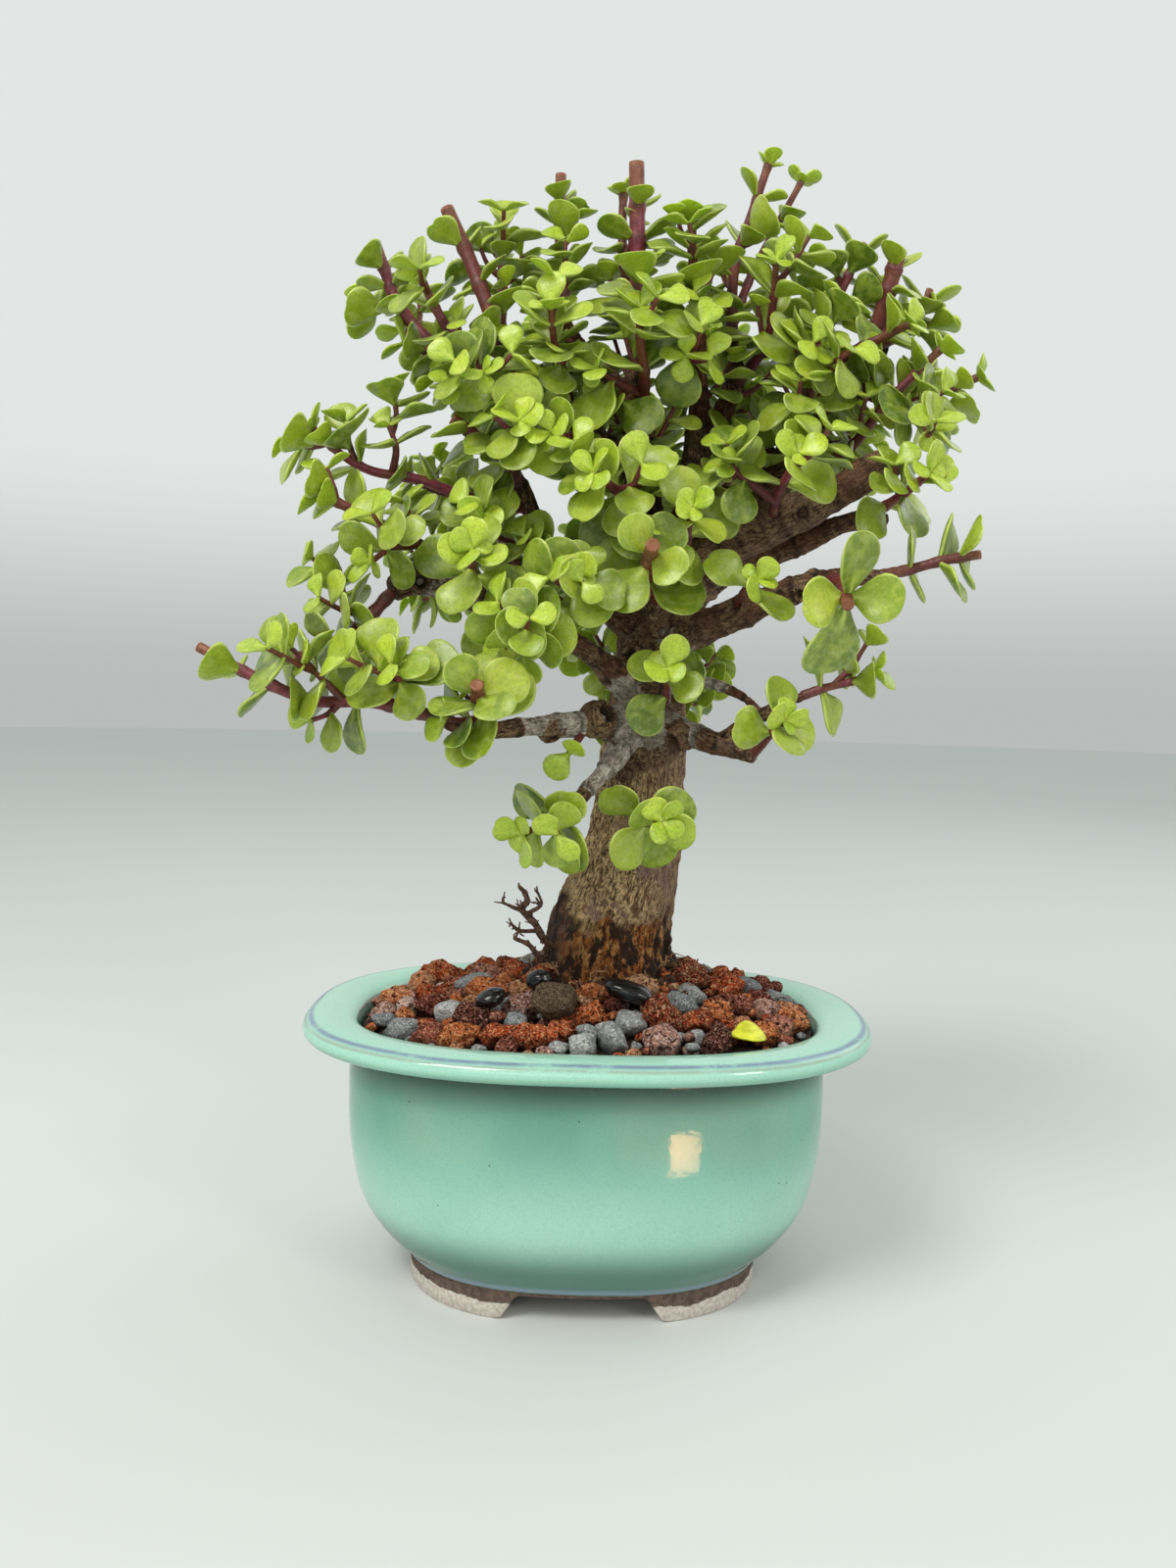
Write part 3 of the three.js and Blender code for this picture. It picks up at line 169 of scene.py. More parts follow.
# Leafy shoots. Each stem: diameter at base and tip, leaf length, pairs, where the pairs begin
# along the stem, turn of the first pair in degrees, a growing bud or a pruned end, and its route.
# A + is one more stem of the shoot above it.
SHOOTS = read_shoots("""
# left side, from the long low whip upwards
left_whip: 4.2 3.4 17 4 0.3 20 cut: -50 -56 198, -70 -54 202, -88 -52 202, -107 -50 209, -125 -48 218
+: 2.4 1.6 15 2 0.6 60 bud: -78 -53 202, -82 -58 207, -88 -62 213
+: 2.6 1.8 17 2 0.6 10 bud: -56 -56 200, -58 -59 206, -60 -62 213
left_mid: 4.2 3.2 15 4 0.3 70 cut: -68 -27 238, -76 -32 228, -84 -38 220, -93 -42 216, -102 -44 214
+: 2.3 1.6 15 3 0.4 20 bud: -75 -32 229, -83 -26 233, -86 -20 242
left_high: 4.6 2.9 16 5 0.25 35 bud: -45 -17 240, -52 -15 249, -62 -18 256, -73 -22 261, -84 -26 266, -92 -28 269
+: 2.6 1.8 16 2 0.6 0 bud: -60 -18 255, -68 -30 252, -73 -37 247
left_upper: 4.2 2.4 15 5 0.22 15 bud: -26 9 272, -44 -3 273, -62 -10 278, -78 -14 280, -88 -18 285, -96 -20 292
+: 2.4 1.6 14 2 0.6 45 bud: -71 -12 279, -69 -16 287, -71 -18 294
left_crown: 4.8 4 16 3 0.4 75 cut: -29 3 280, -32 -9 285, -41 -15 291, -50 -18 297
+: 3 1.8 18 3 0.5 40 bud: -31 -7 284, -28 -24 287, -26 -38 292
left_knob: 3.4 2.2 18 4 0.35 25 bud: -42 -18 240, -41 -32 243, -40 -42 246, -39 -50 250
left_inner: 3.4 1.9 16 3 0.45 40 bud: -22 12 257, -20 -6 253, -19 -20 248, -19 -32 244
+: 3 1.9 17 3 0.45 0 bud: -21 4 255, -33 -4 259, -38 -18 260, -38 -30 262
left_front_cut: 4.6 4.1 19 4 0.34 55 cut: -31 -46 194, -34 -56 196, -35 -66 202, -35 -74 208
left_front_mid: 3.4 2.1 18 3 0.4 12 bud: -20 -31 228, -24 -41 226, -26 -50 222, -28 -58 220
low_left: 3 2 18 3 0.4 45 bud: -4 -33 171, -10 -37 167, -16 -41 164, -22 -47 161
low_left_hanging: 2.8 1.8 17 1 0.75 20 bud: -3 -20 195, -6 -30 190, -8 -38 187
# the front, on and beside the trunk
trunk_low: 3.1 2.2 18 4 0.36 25 bud: 16 0 168, 16 -20 165, 18 -34 164, 22 -46 166
trunk_front: 3.4 2.2 18 3 0.5 75 bud: 22 0 200, 24 -14 204, 24 -26 209, 23 -36 215
centre_low: 3.2 2.2 18 3 0.42 65 bud: -9 -8 235, -9 -24 238, -8 -36 242, -7 -46 244
front_cut: 5.4 4.4 18.5 3 0.42 0 cut: 22 -1 240, 17 -20 244, 16 -42 248, 16 -62 251
front_right: 3.6 2.2 17 3 0.45 60 bud: 31 4 256, 30 -14 258, 29 -32 262, 29 -46 265
front_crown: 4.7 2.1 19 4 0.36 35 bud: 16 -1 264, 12 -16 269, 5 -34 272, -2 -50 274
front_upper: 3.2 2 17 3 0.45 15 bud: -4 0 296, -9 -14 293, -13 -26 290, -16 -38 289
# the crown, from left to right
top_left_a: 4.4 3.9 14 4 0.2 10 cut: -45 0 316, -60 0 327, -72 2 340, -76 2 350, -80 2 361
top_left_b: 4.6 2.6 16 3 0.4 55 bud: -34 -3 311, -49 -14 323, -55 -18 331, -60 -22 340
+: 2.8 1.9 16 2 0.6 10 bud: -42 -9 317, -40 -22 313, -38 -34 308
top_left_c: 5.4 4.9 15 3 0.34 80 cut: -26 -2 307, -34 -4 322, -40 -4 338, -47 -2 355, -55 0 372
+: 3.4 2 12 3 0.45 30 bud: -35 -4 324, -36 8 342, -37 12 356, -36 12 368
top_a: 4.2 3.9 13 4 0.2 5 cut: -13 4 335, -15 4 353, -16 4 370, -16 4 386
top_b: 3.4 1.9 18 4 0.36 20 bud: -9 0 299, -13 -14 313, -16 -26 320, -17 -36 328
top_leader: 6 5.4 15 4 0.22 25 cut: 12 -2 316, 12 2 339, 11 0 364, 10 -2 388
+: 3.8 3 14 2 0.6 70 bud: 12 2 330, 8 8 350, 6 9 366, 6 9 382
top_front: 4.4 2.2 18 3 0.4 50 bud: 14 0 303, 14 -18 312, 12 -28 320, 11 -37 328
+: 3 1.9 17 2 0.65 20 bud: 14 -9 308, 6 -20 309, -2 -30 311
top_c: 4.4 2.8 17 4 0.2 20 bud: 34 4 320, 33 -4 335, 30 -8 352, 29 -10 365
+: 3 2 18 2 0.6 40 bud: 34 -1 329, 29 -14 323, 27 -27 317
top_right_a: 4.2 2.8 14 4 0.12 30 bud: 46 13 334, 46 9 358, 51 6 375, 56 4 391
+: 3.3 2.2 13 3 0.34 0 bud: 46 12 338, 53 16 358, 61 14 374, 69 12 389
top_right_b: 4 2 17 3 0.3 65 bud: 48 13 318, 56 0 328, 57 -12 340, 56 -22 349
+: 2.8 1.9 16 2 0.6 30 bud: 55 2 326, 66 -8 325, 73 -18 323
right_top_a: 3.4 3.2 15 3 0.2 10 cut: 80 22 343, 86 20 354, 90 20 363, 94 20 371
right_top_b: 6 5.8 15 3 0.35 50 cut: 99 32 328, 100 22 342, 103 16 356, 105 14 367
+: 3.6 3 15 3 0.4 10 cut: 100 25 336, 110 31 342, 119 33 351, 122 33 360
right_front_a: 4.6 2.4 16 4 0.3 40 bud: 73 25 314, 79 10 322, 88 2 328, 96 -3 331, 104 -9 334
+: 3 2 16 2 0.6 0 bud: 77 15 319, 72 2 311, 69 -10 304
right_front_b: 4.4 2.6 16 4 0.35 15 bud: 74 27 296, 82 14 292, 90 3 297, 98 -1 308, 107 -5 318, 115 -9 326
+: 2.8 1.9 16 2 0.55 70 bud: 98 -1 308, 105 -10 303, 110 -19 297
right_end: 3.8 2.5 14 4 0.25 70 bud: 97 32 321, 104 22 317, 115 17 317, 124 13 318, 134 10 322
# right side, downwards
fork_high: 3.6 2.2 17 3 0.5 30 bud: 60 -8 266, 59 -20 273, 61 -34 279, 62 -42 283
+: 2.8 1.9 16 2 0.6 60 bud: 59 -19 272, 49 -25 277, 42 -31 281
stub_leaves: 3.8 2.4 16 4 0.3 60 bud: 93 -8 269, 97 -18 272, 101 -28 275, 105 -38 279
right_low_tip: 3.4 3 16 3 0.35 35 cut: 90 -38 246, 99 -38 248, 110 -41 251, 121 -42 253
front_low_right: 4.4 3.8 21 2 0.82 45 cut: 76 -33 245, 77 -44 243, 75 -57 239, 74 -68 234
fork_low: 3.2 1.9 16 2 0.7 20 bud: 47 -9 234, 48 -20 239, 49 -30 242, 51 -38 244
low_right_a: 3.2 2 16 3 0.55 40 bud: 52 -31 187, 55 -38 192, 57 -45 196, 59 -52 199
low_right_b: 2.9 2.2 16 3 0.25 10 bud: 68 -30 207, 76 -31 210, 84 -31 212, 91 -31 215
# the back
back_a: 4 2.6 18 3 0.25 20 bud: 22 75 287, 20 84 304, 18 88 322
back_b: 4 2.6 18 3 0.3 50 bud: 26 60 272, 42 74 280, 58 86 292
back_c: 4 2.6 18 3 0.35 80 bud: 27 50 265, 8 68 262, -10 82 266
back_d: 3.8 2.6 17 3 0.25 35 bud: -10 45 313, -19 58 330, -24 64 348
back_f: 3.8 2.6 17 3 0.35 60 bud: -7 40 308, -30 46 311, -50 50 320
back_g: 3.8 2.6 17 3 0.25 5 bud: 63 67 311, 62 78 328, 60 84 346
back_h: 3.8 2.6 17 3 0.35 40 bud: 67 56 302, 84 66 306, 104 72 314
back_i: 3.8 2.6 17 3 0.35 75 bud: 67 46 297, 54 52 320, 42 52 346
back_j: 3.6 2.4 17 3 0.3 25 bud: -37 49 261, -52 60 272, -66 68 286
back_k: 3.6 2.4 17 3 0.35 55 bud: -30 40 254, -50 42 248, -68 38 246
back_l: 3.4 2.4 18 3 0.25 0 bud: 14 61 215, 6 74 222, -4 86 232
back_m: 3.4 2.4 18 3 0.35 30 bud: 19 46 208, 34 58 211, 50 70 218
""")
FALLEN = {"at": (53, -40), "turn": 14, "length": 13, "tilt": 8, "lift": 3.6}
# Bleached wood at the crotch, painted near-white as painted light where the canopy shades it: centre, reach,
# strength.
PALE_WOOD = [
    ((14, -10, 199), 17, 0.9), ((-4, -22, 196), 15, 0.8), ((6, -18, 182), 13, 0.75),
    ((34, -14, 193), 12, 0.7), ((40, -8, 211), 12, 0.6), ((26, -8, 222), 10, 0.5),
    ((-17, -33, 195), 13, 0.6), ((0, -26, 178), 9, 0.7), ((-52, -22, 242), 16, 0.5),
]
# Where side branches were cut off: route number (0 is the trunk), place along it, the way the
# stub points, its radius and height, and how hollow its face is.
STUBS = [
    (7, 0.24, (0.1, -1, 0.35), 4.6, 3.4, 1.0), (4, 0.36, (0.1, -1, -0.5), 3.8, 2.4, 0.4),
    (4, 0.75, (0.3, -0.8, 0.5), 2.7, 2.2, 0.6), (7, 0.42, (0, -0.8, -0.8), 2.6, 1.6, 0.5),
    (3, 0.35, (0, -1, 0.3), 3.0, 2.0, 0.5), (3, 0.62, (0, -1, -0.4), 2.4, 1.8, 0.5),
    (1, 0.3, (0, -1, 0.5), 3.8, 2.4, 0.6), (1, 0.58, (0.2, -1, -0.1), 3.0, 2.0, 0.6),
    (1, 0.995, (1, 0, 0), 3.0, 0.8, 1.0), (0, 0.62, (0.9, -0.6, 0.2), 4.4, 2.4, 0.5),
    (0, 0.78, (-0.5, -0.9, 0.1), 3.8, 2.4, 0.6), (12, 0.35, (0, -1, 0.2), 3.0, 2.0, 0.6),
    (14, 0.3, (-0.2, -1, 0.1), 3.4, 2.2, 0.5), (14, 0.55, (0.2, -1, 0.4), 2.8, 1.8, 0.5),
    (10, 0.72, (0, -1, 0.2), 3.2, 2.0, 0.6), (10, 0.86, (-0.3, -1, -0.3), 3.0, 2.2, 0.8),
    (18, 0.4, (0.2, 0.9, 0.4), 3.0, 2.0, 0.5), (0, 0.55, (-0.8, 0.7, 0.1), 4.2, 2.4, 0.5),
]
COLLAR = (7, 14)                  # where the trunk meets the grit
COLLAR_REACH = 25.0               # no stone lies nearer to it than about this
CRUMBS, ROOTLETS = 150, 110
# Smallest and largest radius of the stones, and how many places are tried: large ones first.
STONE_SIZES = ((5.4, 7.0, 900), (4.2, 5.6, 1600), (3.0, 4.2, 2600), (1.8, 3.0, 3800))
STONE_SPACING = 0.84              # distance of neighbours over the sum of their radii
STONE_SWELL = 1.16                # drawn radius over the radius used for the spacing
STONE_KINDS = ("lava", "pumice", "tan", "dark")
# Stones that stand out: kind, x, y, z, half sizes, turn about z and tilt to the right in degrees.
MARKED_STONES = [
    ("olive", -11, -29, 103.4, (7.6, 7.0, 6.2), 20, 6),
    ("gloss", 14, -24, 105.0, (9.0, 5.4, 3.6), -10, 16),
    ("gloss", -33, -25, 102.2, (5.5, 4.5, 3.2), 30, -20),
    ("gloss", -17, -17, 107.0, (5.0, 4.2, 3.6), -10, -12),
]

# Leaves. BENDS are the ways a leaf is turned, lifted and shortened until it has room.
LEAF = {"slim": 0.43, "thick": 2.3, "back": 0.9, "crown": 0.55}
LEAF_OUTLINE = [(0.52, 0.97), (0.95, 0.64)]
BENDS = [
    (0, 0, 1), (18, 6, 1), (-18, 6, 1), (0, 22, 1), (34, 0, 0.94), (-34, 0, 0.94), (0, -18, 0.94),
    (24, 26, 0.86), (-24, 26, 0.86), (50, 8, 0.82), (-50, 8, 0.82), (0, 38, 0.76), (0, -32, 0.76),
    (40, -24, 0.7), (-40, -24, 0.7),
]
LAST_PAIR = {"bud": 0.985, "cut": 0.8}
LEAF_ROWS, LEAF_RING = 12, 12
SMALL_ROWS, SMALL_RING = 9, 10
LEAF_HALF = 0.47                  # half width over length that the room test allows a leaf
LEAF_HALF_DEPTH = 1.1             # and half its thickness
LOWEST_LEAF = 112                 # a leaf that is tested for room stays above this height
# Short leafy side twigs: how many grow from each shoot of the CAD, and from each woody branch.
TWIGS = {
    "left_whip": 6, "left_mid": 3, "left_high": 4, "left_upper": 4, "left_crown": 5, "left_knob": 1,
    "left_inner": 3, "left_front_cut": 5, "left_front_mid": 4, "low_left": 1, "front_cut": 1,
    "centre_low": 4, "front_crown": 4, "front_upper": 4, "top_left_a": 4, "top_left_b": 5,
    "top_left_c": 7, "top_a": 6, "top_b": 4, "top_leader": 7, "top_front": 4, "top_c": 7,
    "top_right_a": 7, "top_right_b": 5, "right_top_a": 5, "right_top_b": 5, "right_front_a": 4,
    "right_front_b": 4, "right_end": 3, "fork_high": 2, "stub_leaves": 1, "right_low_tip": 0,
    "low_right_b": 1,
}
BACK_TWIGS = 6
WOODY_TWIGS = {11: 7, 12: 9, 13: 9, 14: 9, 15: 9, 16: 8, 17: 8, 18: 8, 19: 8, 20: 8, 21: 9, 22: 8}
TWIG_TRIES = 9
TWIG_TOP = 375                    # twigs of the crown end below this height
HORIZON = 0.64                    # brightness of the backdrop where it meets the floor

# ------------------------------------------------------------------ numbers and noise


def scatter(i, j, k):
    """An even, repeatable scatter in 0..1 from three whole numbers."""
    s = math.sin(i * 12.9898 + j * 78.233 + k * 37.719) * 43758.5453
    return s - math.floor(s)


def unit(v):
    v = np.asarray(v, float)
    return v / np.linalg.norm(v, axis=-1, keepdims=True)


def smoothstep(x, low, high):
    t = np.clip((np.asarray(x, float) - low) / (high - low), 0, 1)
    return t * t * (3 - 2 * t)


def lattice(cell, seed):
    """A repeatable number in 0..1 for each whole-numbered cell."""
    h = cell[:, 0] * 374761393 + cell[:, 1] * 668265263 + cell[:, 2] * 1274126177 + seed * 974711
    h = h & 0xFFFFFFFF
    h = ((h ^ (h >> 13)) * 1103515245) & 0xFFFFFFFF
    h = (h ^ (h >> 16)) & 0xFFFF
    return h / 65535.0


def noise(points, size, seed=0, octaves=1):
    """Smooth noise in -1..1 at points; size is the width of its coarsest lumps."""
    total, gain, reach = 0.0, 1.0, 0.0
    p = np.asarray(points, float) / size
    for octave in range(octaves):
        base = np.floor(p).astype(np.int64)
        f = p - base
        f = f * f * (3 - 2 * f)
        value = 0.0
        for corner in np.ndindex(2, 2, 2):
            weight = np.prod(np.where(np.array(corner) == 1, f, 1 - f), axis=1)
            value = value + weight * lattice(base + np.array(corner), seed + octave * 17)
        total = total + gain * (value * 2 - 1)
        reach += gain
        gain *= 0.5
        p = p * 2.03 + 11.7
    return total / reach


class Route:
    """The centripetal Catmull-Rom curve through a route's points, the same as in the CAD."""

    def __init__(self, route):
        self.route = route
        self.p = np.array([q[:3] for q in route], float)

    def point(self, t):
        p = self.p
        last = len(p) - 1
        i = min(int(math.floor(t * last)), last - 1)
        w = t * last - i
        p1, p2 = p[i], p[i + 1]
        p0 = p[i - 1] if i > 0 else 2 * p1 - p2
        p3 = p[i + 2] if i + 2 <= last else 2 * p2 - p1
        d0, d1, d2 = (max(np.sum((b - a) ** 2) ** 0.25, 1e-4) for a, b in ((p0, p1), (p1, p2), (p2, p3)))
        m1 = ((p1 - p0) / d0 - (p2 - p0) / (d0 + d1) + (p2 - p1) / d1) * d1
        m2 = ((p2 - p1) / d1 - (p3 - p1) / (d1 + d2) + (p3 - p2) / d2) * d1
        return p1 + w * (m1 + w * (-3 * p1 + 3 * p2 - 2 * m1 - m2 + w * (2 * p1 - 2 * p2 + m1 + m2)))

    def tangent(self, t):
        return unit(self.point(min(t + 1e-4, 1)) - self.point(max(t - 1e-4, 0)))

    def radius(self, t):
        at = t * (len(self.route) - 1)
        i = min(int(at), len(self.route) - 2)
        a, b = self.route[i][3], self.route[i + 1][3]
        return a + (b - a) * smoothstep(at - i, 0, 1) * 0.5 + (b - a) * (at - i) * 0.5

    def length(self):
        points = [self.point(t) for t in np.linspace(0, 1, 40)]
        return float(np.sum(np.linalg.norm(np.diff(points, axis=0), axis=1)))


NORTH = unit((0.28, 0.93, 0.24))              # no stem runs along it
CANOPY_HEART = np.array([18.0, 24.0, 250.0])  # the blades face away from it
UP = np.array([0.0, 0.0, 1.0])


def around_stem(tangent, angle):
    """The direction at an angle about a stem."""
    side = unit(np.cross(tangent, NORTH))
    other = np.cross(tangent, side)
    return side * math.cos(angle) + other * math.sin(angle)


# ------------------------------------------------------------------ meshes


class Shape:
    """Vertices, faces and per-vertex values of one piece, gathered from many parts."""

    def __init__(self):
        self.verts, self.faces, self.slots, self.values = [], [], [], {}
        self.count = 0

    def add(self, verts, faces, slot=0, **values):
        verts = np.asarray(verts, float)
        self.verts.append(verts)
        self.faces.append(np.asarray(faces, np.int64) + self.count)
        self.slots.append(np.full(len(faces), slot))
        for name in set(self.values) | set(values):
            column = self.values.setdefault(name, [np.zeros(self.count)] if self.count else [])
            column.append(np.broadcast_to(np.asarray(values.get(name, 0.0), float), (len(verts),)))
        self.count += len(verts)


def make_piece(name, shape, materials, replaces=()):
    """A Blender object from a Shape, riding on the object's one body, clipped to the CAD box."""
    verts = np.clip(np.concatenate(shape.verts) * MM + CENTRE, BOX_LOW, BOX_HIGH)
    mesh = bpy.data.meshes.new(name)
    faces = [row for block in shape.faces for row in block.tolist()]
    mesh.from_pydata(verts.tolist(), [], faces)
    for material in materials:
        mesh.materials.append(material)
    mesh.polygons.foreach_set("material_index", np.concatenate(shape.slots).astype(np.int32))
    mesh.polygons.foreach_set("use_smooth", np.ones(len(faces), bool))
    for key, column in shape.values.items():
        layer = mesh.attributes.new(key, "FLOAT", "POINT")
        layer.data.foreach_set("value", np.concatenate(column).astype(np.float32))
    mesh.update()
    obj = bpy.data.objects.new(name, mesh)
    bpy.context.scene.collection.objects.link(obj)
    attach(obj, "root")
    if replaces:
        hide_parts(*replaces)
    return obj


def grid_faces(rows, columns, wrap=True):
    """Quads between rows of points; each row closes on itself if wrap is set."""
    r = np.arange(rows - 1)[:, None] * columns
    c = np.arange(columns if wrap else columns - 1)[None, :]
    n = (c + 1) % columns
    return np.stack([r + c, r + n, r + columns + n, r + columns + c], axis=-1).reshape(-1, 4)


def tube(centres, frames, radii, sides, squash=None):
    """Rings of points along a path. frames are pairs of side directions for each centre."""
    angle = np.arange(sides) / sides * 2 * math.pi
    rows = []
    for k, (c, (u, v), r) in enumerate(zip(centres, frames, radii)):
        rk = r if squash is None else r * squash(k, angle)
        rows.append(c + np.outer(np.cos(angle) * rk, u) + np.outer(np.sin(angle) * rk, v))
    return np.array(rows)


def carried_frames(tangents):
    """Side directions carried along a path with no twist."""
    side = unit(np.cross(tangents[0], NORTH))
    frames = []
    for t in tangents:
        side = unit(side - t * np.dot(side, t))
        frames.append((side, np.cross(t, side)))
    return frames


def capped(rows, round_end=0.0, tangents=None):
    """A tube's rows with its two ends drawn in to a point, as vertices and faces."""
    rows = list(rows)
    ends = []
    for index, amount in ((0, 0.0), (-1, round_end)):
        ring = rows[index]
        middle = ring.mean(axis=0)
        shift = 0 if tangents is None else tangents[index] * amount
        drawn_in = middle + (ring - middle) * 0.72 + shift * 0.7
        ends.append([drawn_in, np.repeat(middle[None] + shift, len(ring), 0)])
    rows = [ends[0][1], ends[0][0], *rows, ends[1][0], ends[1][1]]
    array = np.array(rows)
    return array.reshape(-1, 3), grid_faces(len(rows), array.shape[1])


# ------------------------------------------------------------------ materials


class Graph:
    """A material's node tree with a Principled shader at its end."""

    def __init__(self, name):
        self.material = bpy.data.materials.new(name)
        self.material.use_nodes = True
        self.tree = self.material.node_tree
        self.tree.nodes.clear()
        self.output = self.tree.nodes.new("ShaderNodeOutputMaterial")
        self.shader = self.tree.nodes.new("ShaderNodeBsdfPrincipled")
        self.tree.links.new(self.shader.outputs[0], self.output.inputs["Surface"])

    def put(self, socket, value):
        if isinstance(value, str):
            value = rgb(value)
        if isinstance(value, bpy.types.NodeSocket):
            self.tree.links.new(value, socket)
        elif isinstance(value, tuple) and len(value) == 3 and socket.type == "RGBA":
            socket.default_value = (*value, 1.0)
        else:
            socket.default_value = value

    def node(self, kind, inputs=None, **settings):
        made = self.tree.nodes.new("ShaderNode" + kind)
        for key, value in settings.items():
            setattr(made, key, value)
        for key, value in (inputs or {}).items():
            self.put(made.inputs[key], value)
        return made

    def set(self, **values):
        for key, value in values.items():
            self.put(self.shader.inputs[key.replace("_", " ")], value)

    def value(self, name):
        """A per-vertex value of the mesh."""
        return self.node("Attribute", attribute_name=name).outputs["Fac"]

    def place(self):
        return self.node("TexCoord").outputs["Object"]

    def math(self, operation, a, b=0.0):
        return self.node("Math", {0: a, 1: b}, operation=operation).outputs[0]

    def times(self, a, b):
        return self.math("MULTIPLY", a, b)

    def plus(self, a, b):
        return self.math("ADD", a, b)

    def minus(self, a, b):
        return self.math("SUBTRACT", a, b)

    def vector(self, x, y, z):
        return self.node("CombineXYZ", {0: x, 1: y, 2: z}).outputs[0]

    def scaled(self, vector, x, y, z):
        return self.node("VectorMath", {0: vector, 1: (x, y, z)}, operation="MULTIPLY").outputs[0]

    def noise(self, vector, cells, detail=3.0, roughness=0.55, distortion=0.0):
        """Noise with this many lumps a metre."""
        inputs = {"Vector": vector, "Scale": cells, "Detail": detail, "Roughness": roughness,
                  "Distortion": distortion}
        return self.node("TexNoise", inputs).outputs["Fac"]

    def cells(self, vector, count):
        return self.node("TexVoronoi", {"Vector": vector, "Scale": count}).outputs["Distance"]

    def ramp(self, value, low, high, to_low=0.0, to_high=1.0):
        inputs = {"Value": value, "From Min": low, "From Max": high, "To Min": to_low, "To Max": to_high}
        return self.node("MapRange", inputs, interpolation_type="SMOOTHSTEP").outputs["Result"]

    def mix(self, factor, a, b):
        """Two colours mixed, each a socket, a linear colour or an sRGB hex code."""
        made = self.node("Mix", {"Factor": factor}, data_type="RGBA")
        self.put(made.inputs[6], a)
        self.put(made.inputs[7], b)
        return made.outputs[2]

    def lay(self, factor, shade):
        """Lays a shade over the colour so far."""
        self.colour = self.mix(factor, self.colour, shade)

    def bump(self, height, strength, distance, normal=None):
        inputs = {"Height": height, "Strength": strength, "Distance": distance}
        if normal is not None:
            inputs["Normal"] = normal
        return self.node("Bump", inputs).outputs["Normal"]


def rgb(code):
    """A linear colour from an sRGB hex code."""
    parts = [int(code[i:i + 2], 16) / 255 for i in (0, 2, 4)]
    return tuple(c / 12.92 if c <= 0.04045 else ((c + 0.055) / 1.055) ** 2.4 for c in parts)


def leaf_material():
    g = Graph("succulent_leaf")
    u, v, age, chance = (g.value(n) for n in ("leaf_u", "leaf_v", "leaf_age", "leaf_chance"))
    place = g.place()
    young = g.mix(chance, "c2d63c", "a6c22e")
    grown = g.mix(chance, "a9b92a", "7d9418")
    g.colour = g.mix(g.ramp(age, 0.1, 0.75), young, grown)
    other = g.math("FRACT", g.times(chance, 7.31))
    shaded = g.times(g.ramp(other, 0.5, 0.9, 0.0, 0.8), g.ramp(age, 0.3, 0.8))
    g.lay(shaded, "48640f")
    clouds = g.noise(place, 190, 3)
    g.lay(g.ramp(clouds, 0.42, 0.62, 0.0, 0.42), "bfcc4c")
    mottle = g.noise(place, 900, 4, 0.7)
    g.lay(g.ramp(mottle, 0.46, 0.62, 0.0, 0.32), "587218")
    fine = g.noise(place, 2200, 3, 0.65)
    g.lay(g.ramp(fine, 0.45, 0.65, 0.0, 0.26), "587b24")
    across = g.math("ABSOLUTE", v)
    rib = g.times(g.ramp(across, 0.0, 0.4, 1.0, 0.0), g.ramp(u, 0.05, 0.62, 0.9, 0.0))
    g.lay(rib, "cde06c")
    rim = g.times(g.ramp(across, 0.45, 0.88), g.ramp(u, 0.05, 0.6, 1.0, 0.35))
    g.lay(g.times(rim, 0.4), "4f7420")
    dots = g.ramp(g.cells(place, 1500), 0.12, 0.2, 0.22, 0.0)
    g.lay(dots, "d9e3a0")
    # The paler margin: partly the leaf's own colour, partly a painted highlight along the rim.
    edge = g.ramp(across, 0.86, 0.98, 0.0, 0.6)
    g.lay(edge, "cfdc74")
    g.lay(g.ramp(u, 0.0, 0.1, 0.5, 0.0), "a77a4c")
    # Pale patches on older leaves: partly the waxy bloom, partly a painted sheen.
    bloom_and_painted_sheen = g.times(g.ramp(age, 0.25, 0.9), g.ramp(g.noise(place, 420, 3), 0.48, 0.66, 0.0, 0.3))
    g.lay(bloom_and_painted_sheen, "b0b880")
    g.set(Base_Color=g.colour, Roughness=g.ramp(fine, 0.3, 0.7, 0.3, 0.46), IOR=1.48)
    g.set(Subsurface_Weight=0.16, Subsurface_Radius=(0.6, 1.0, 0.12), Subsurface_Scale=0.003)
    g.set(Coat_Weight=0.22, Coat_Roughness=0.25)
    dimples = g.bump(g.noise(place, 1700, 3), 0.2, 0.0005)
    g.set(Normal=g.bump(g.noise(place, 240, 2), 0.3, 0.0006, dimples))
    return g.material


def stem_material():
    g = Graph("young_stem")
    along, kind, cut = (g.value(n) for n in ("stem_along", "leaf_chance", "stem_cut"))
    ring = g.value("stem_ring")
    place = g.place()
    wine = g.mix(kind, "62281a", "8a2f48")
    olive = g.mix(kind, "8f6234", "9a8c44")
    g.colour = g.mix(g.ramp(along, 0.7, 1.4), wine, olive)
    streaks = g.noise(place, 420, 4)
    g.lay(g.ramp(streaks, 0.4, 0.65, 0.0, 0.65), "4c1f17")
    patches = g.ramp(g.noise(place, 90, 2), 0.5, 0.62, 0.0, 0.55)
    g.lay(patches, "7d4a2c")
    g.lay(g.ramp(along, 0.0, 0.25, 0.5, 0.0), "543326")
    g.lay(g.times(ring, 0.6), "4a2a1c")
    g.lay(g.ramp(g.noise(place, 3000, 2), 0.55, 0.75, 0.0, 0.3), "b98a70")
    g.lay(g.ramp(cut, 0.2, 0.8, 0.0, 0.75), "8a5230")
    g.set(Base_Color=g.colour, Roughness=g.ramp(streaks, 0.3, 0.7, 0.34, 0.6))
    g.set(Subsurface_Weight=0.05, Subsurface_Radius=(1.0, 0.3, 0.2), Subsurface_Scale=0.001)
    g.set(Normal=g.bump(g.noise(place, 1300, 3), 0.35, 0.0005))
    return g.material


